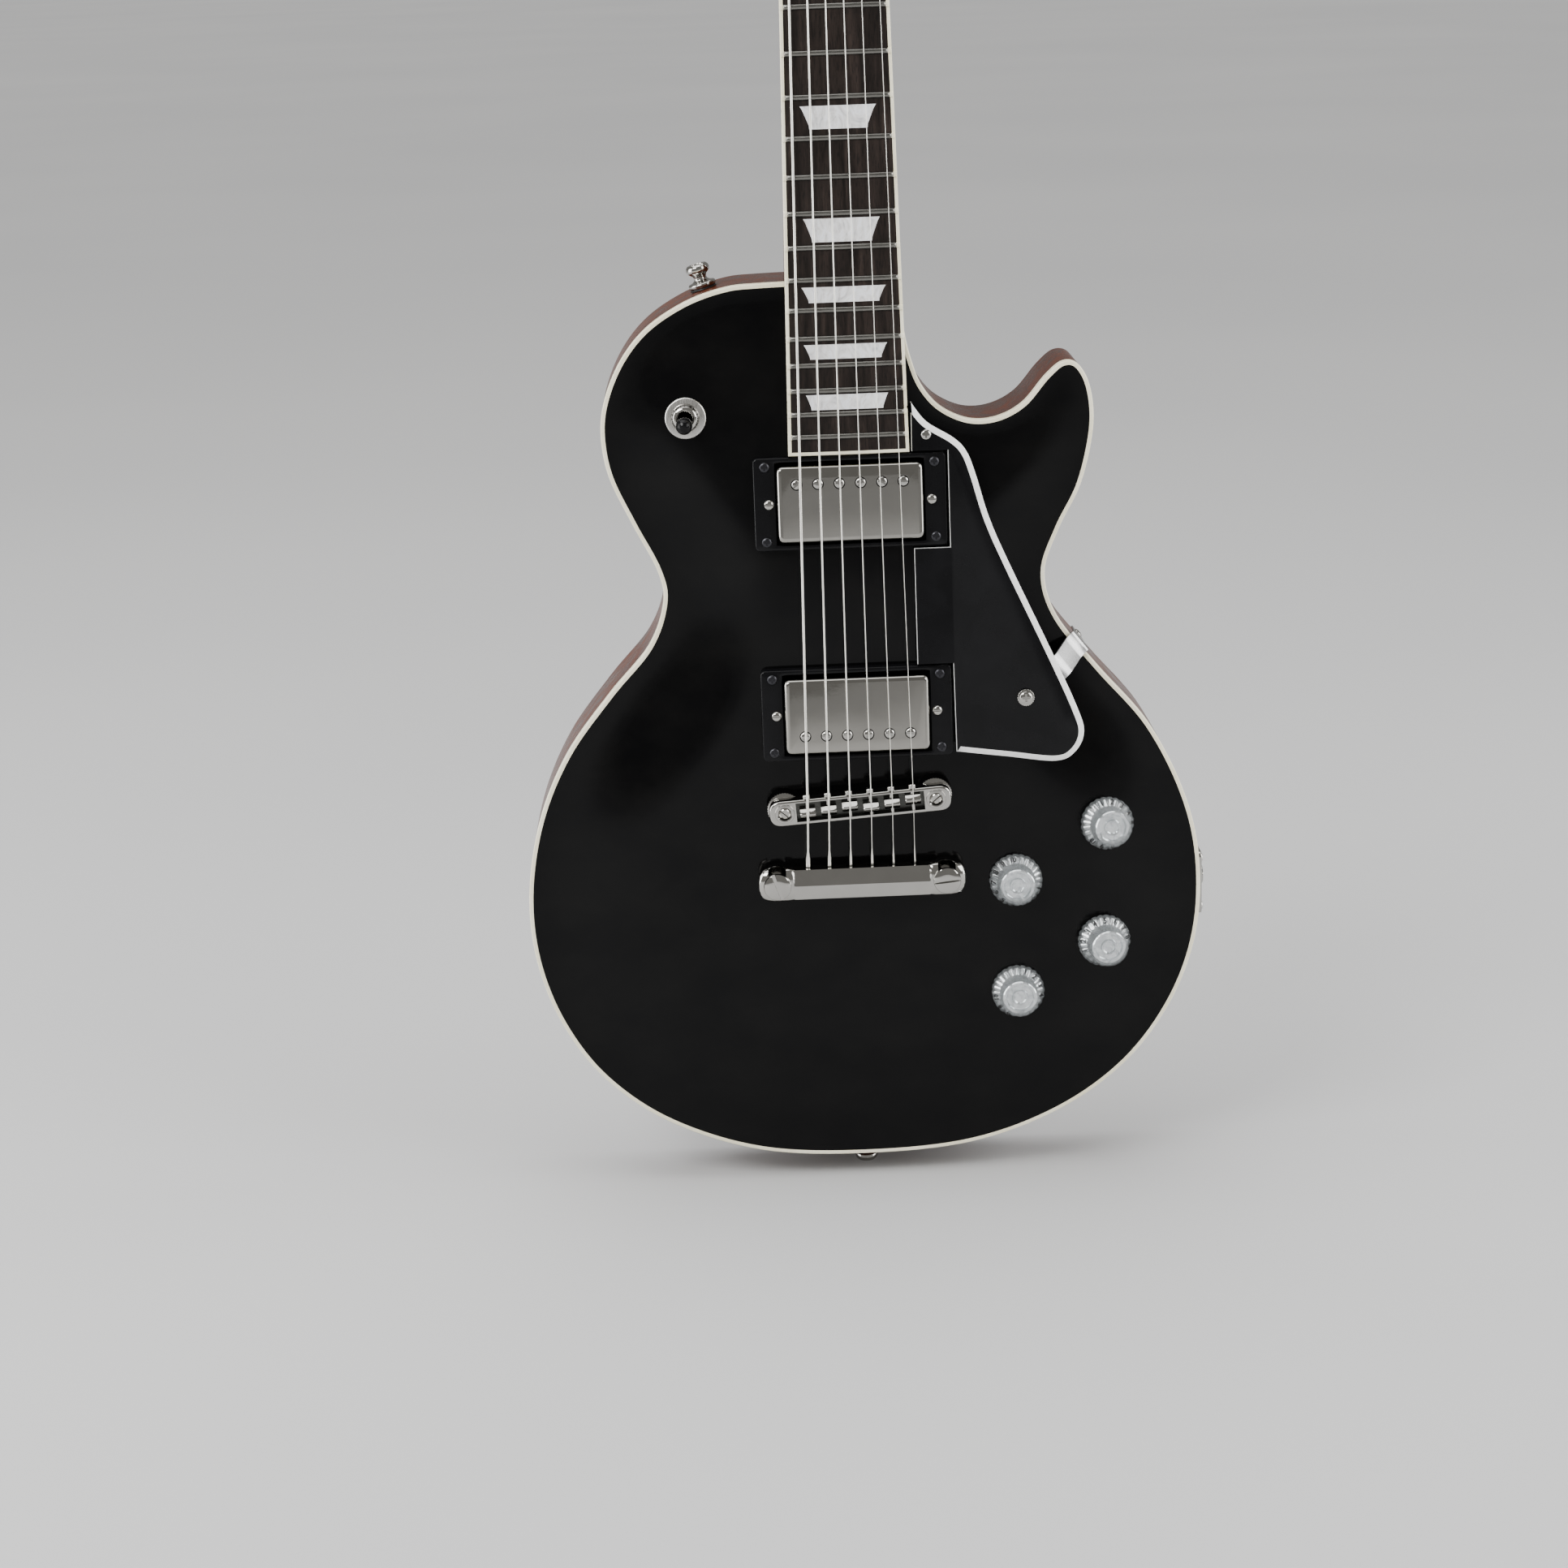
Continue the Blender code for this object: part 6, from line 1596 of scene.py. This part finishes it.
def make_tuner_button(label, side, x, y, z):
    """A kidney-shaped button with a shaft that carries the worm."""
    outline = catmull_rom(((6.6, 0), (6.2, 6), (3.6, 10.6), (-1.5, 11.2), (-5.4, 8.4), (-6.6, 4.2),
                           (-6.9, 0), (-6.6, -4.2), (-5.4, -8.4), (-1.5, -11.2), (3.6, -10.6),
                           (6.2, -6)), 5, closed=True)
    levels = []
    for k in range(9):
        angle = pi * (k / 8 - 0.5)
        levels.append((4.4 * sin(angle), 3.6 * (1 - cos(angle) ** 0.7)))
    button = loft([[(px, depth, pz) for px, pz in inset(outline, distance)]
                   for depth, distance in levels])
    button = placed(button, shift(x + side * (SHAFT_LENGTH + 0.6), y, z),
                    Matrix.Scale(side, 4, (1, 0, 0)))
    if side < 0:
        button.flip_normals()
    shaft = [rod(WORM_RADIUS - 0.05, (x - side * 5, y, z), (x + side * 19, y, z), 24),
             rod(3.3, (x + side * 11.4, y, z), (x + side * 12.6, y, z), 32, edge=0.3),
             rod(2.9, (x + side * 15.0, y, z), (x + side * 18.6, y, z), 32, edge=0.5)]
    piece("tuner_key_" + label, [button] + shaft, CHROME,
          ["tuner_button_" + label], body="tuner_button_" + label, place=HEAD)


def string_route(index):
    """World points and radii of one string, from inside the tailpiece to its tuner post."""
    radius = STRING_DIAMETERS[index] / 2
    tail_x = string_places(TAIL_SPREAD)[index]
    saddle_x = string_places(SADDLE_SPREAD)[index]
    nut_x = string_places(NUT_SPREAD)[index]
    tail_y = RIM_Y - TAILPIECE_RISE
    crest_y = RIM_Y - SADDLE_CREST + radius_drop(saddle_x) - radius + 0.15
    crest_z = BRIDGE_Z + saddle_x * tan(BRIDGE_SLANT) + SADDLE_OFFSETS[index]
    tail = [Vector((tail_x, tail_y, TAILPIECE_Z + z + SADDLE_Z)) for z in (-5.4, 0, 8)]
    crest = Vector((saddle_x, crest_y, crest_z + SADDLE_Z))
    points = tail + [tail[-1].lerp(crest, t) for t in (0.16, 0.3, 0.6, 0.96)] + [crest]
    over_nut = radius_drop(nut_x) - SLOT_HEIGHT - radius
    nut = [NECK @ Vector((nut_x, over_nut, s))
           for s in (SCALE_LENGTH, SCALE_LENGTH + NUT_THICKNESS)]
    points += [crest.lerp(nut[0], t) for t in (0.01, 0.25, 0.5, 0.75)] + nut
    thick = 1.9 if index < WOUND_STRINGS else 2.6
    radii = [radius * thick] * 4 + [radius] * (len(points) - 4)
    side = -1 if index < 3 else 1
    number = index if index < 3 else 5 - index
    x, z = side * TUNER_X[number], TUNER_ROWS[number]
    coil = 2.65 + radius
    turns, steps = 2.6, 52
    pitch = 2 * radius + 0.06
    for i in range(steps + 1):
        angle = turns * 2 * pi * i / steps
        depth = -9.2 + pitch * angle / (2 * pi)
        place = Vector((x - side * coil * cos(angle), depth, z + coil * sin(angle)))
        points.append(HEAD @ place)
        radii.append(radius)
    return points, radii


def make_strings():
    for index in range(6):
        points, radii = string_route(index)
        wire = WOUND_WIRE if index < WOUND_STRINGS else PLAIN_WIRE
        piece(f"wire_{6 - index}", tube(points, radii, 12), wire, [f"string_{6 - index}"],
              smooth=60)
    ball = lathe(((0.9, -1.6), (1.9, -1.8), (1.9, 1.8), (0.9, 1.6)), 20, closed=True)
    balls = [placed(ball, shift(x, 0, -6.0), SIDEWAYS) for x in string_places(TAIL_SPREAD)]
    piece("ball_ends", balls, BRASS, place=TAILPIECE)


# ---------------------------------------------------------------- stage
def make_stage():
    floor = bpy.data.meshes.new("floor")
    bm = bmesh.new()
    bmesh.ops.create_grid(bm, x_segments=4, y_segments=4, size=40)
    bm.to_mesh(floor)
    bm.free()
    paper = Finish("studio_floor", (0.6, 0.6, 0.6), 0.7)
    paper.colour(paper.noise(0.0008, 2), (0.3, (0.47, 0.472, 0.475)), (0.7, (0.5, 0.5, 0.5)))
    floor.materials.append(paper.material)
    add("floor", floor, (0, 10, CAD_BOX[0][2]))
    world = bpy.data.worlds.new("studio")
    world.use_nodes = True
    background = world.node_tree.nodes["Background"]
    background.inputs["Color"].default_value = WORLD_COLOUR
    background.inputs["Strength"].default_value = WORLD_STRENGTH
    bpy.context.scene.world = world
    for name, place, size, power in LIGHTS:
        light = bpy.data.lights.new(name, "AREA")
        light.shape = "RECTANGLE"
        light.size, light.size_y = size
        light.energy = power
        aim = (LIT_POINT - Vector(place)).to_track_quat("-Z", "Y").to_euler()
        add(name, light, place, aim)
    overhead = bpy.data.lights.new("overhead", "SUN")
    overhead.energy = OVERHEAD_ENERGY
    overhead.angle = radians(60)
    add("overhead", overhead, rotation=(radians(-8), radians(-8), 0))
    camera = bpy.data.cameras.new("camera")
    camera.lens = CAMERA_LENS
    camera.sensor_width = 36.0
    camera.clip_end = 200.0
    bpy.context.scene.camera = add("camera", camera, CAMERA_PLACE, CAMERA_ROTATION)


make_stage()
make_back()
make_cap()
make_binding()
make_covers()
make_strap_buttons()
make_neck()
make_headstock_trim()
make_fingerboard()
make_board_binding()
make_nut()
for pickup_side in PICKUPS:
    make_ring(pickup_side)
    make_pickup(pickup_side)
make_pickguard()
make_bracket()
make_bridge()
make_bridge_posts()
make_tailpiece()
make_tailpiece_studs()
make_knobs()
make_switch()
make_jack()
make_tuners()
make_strings()
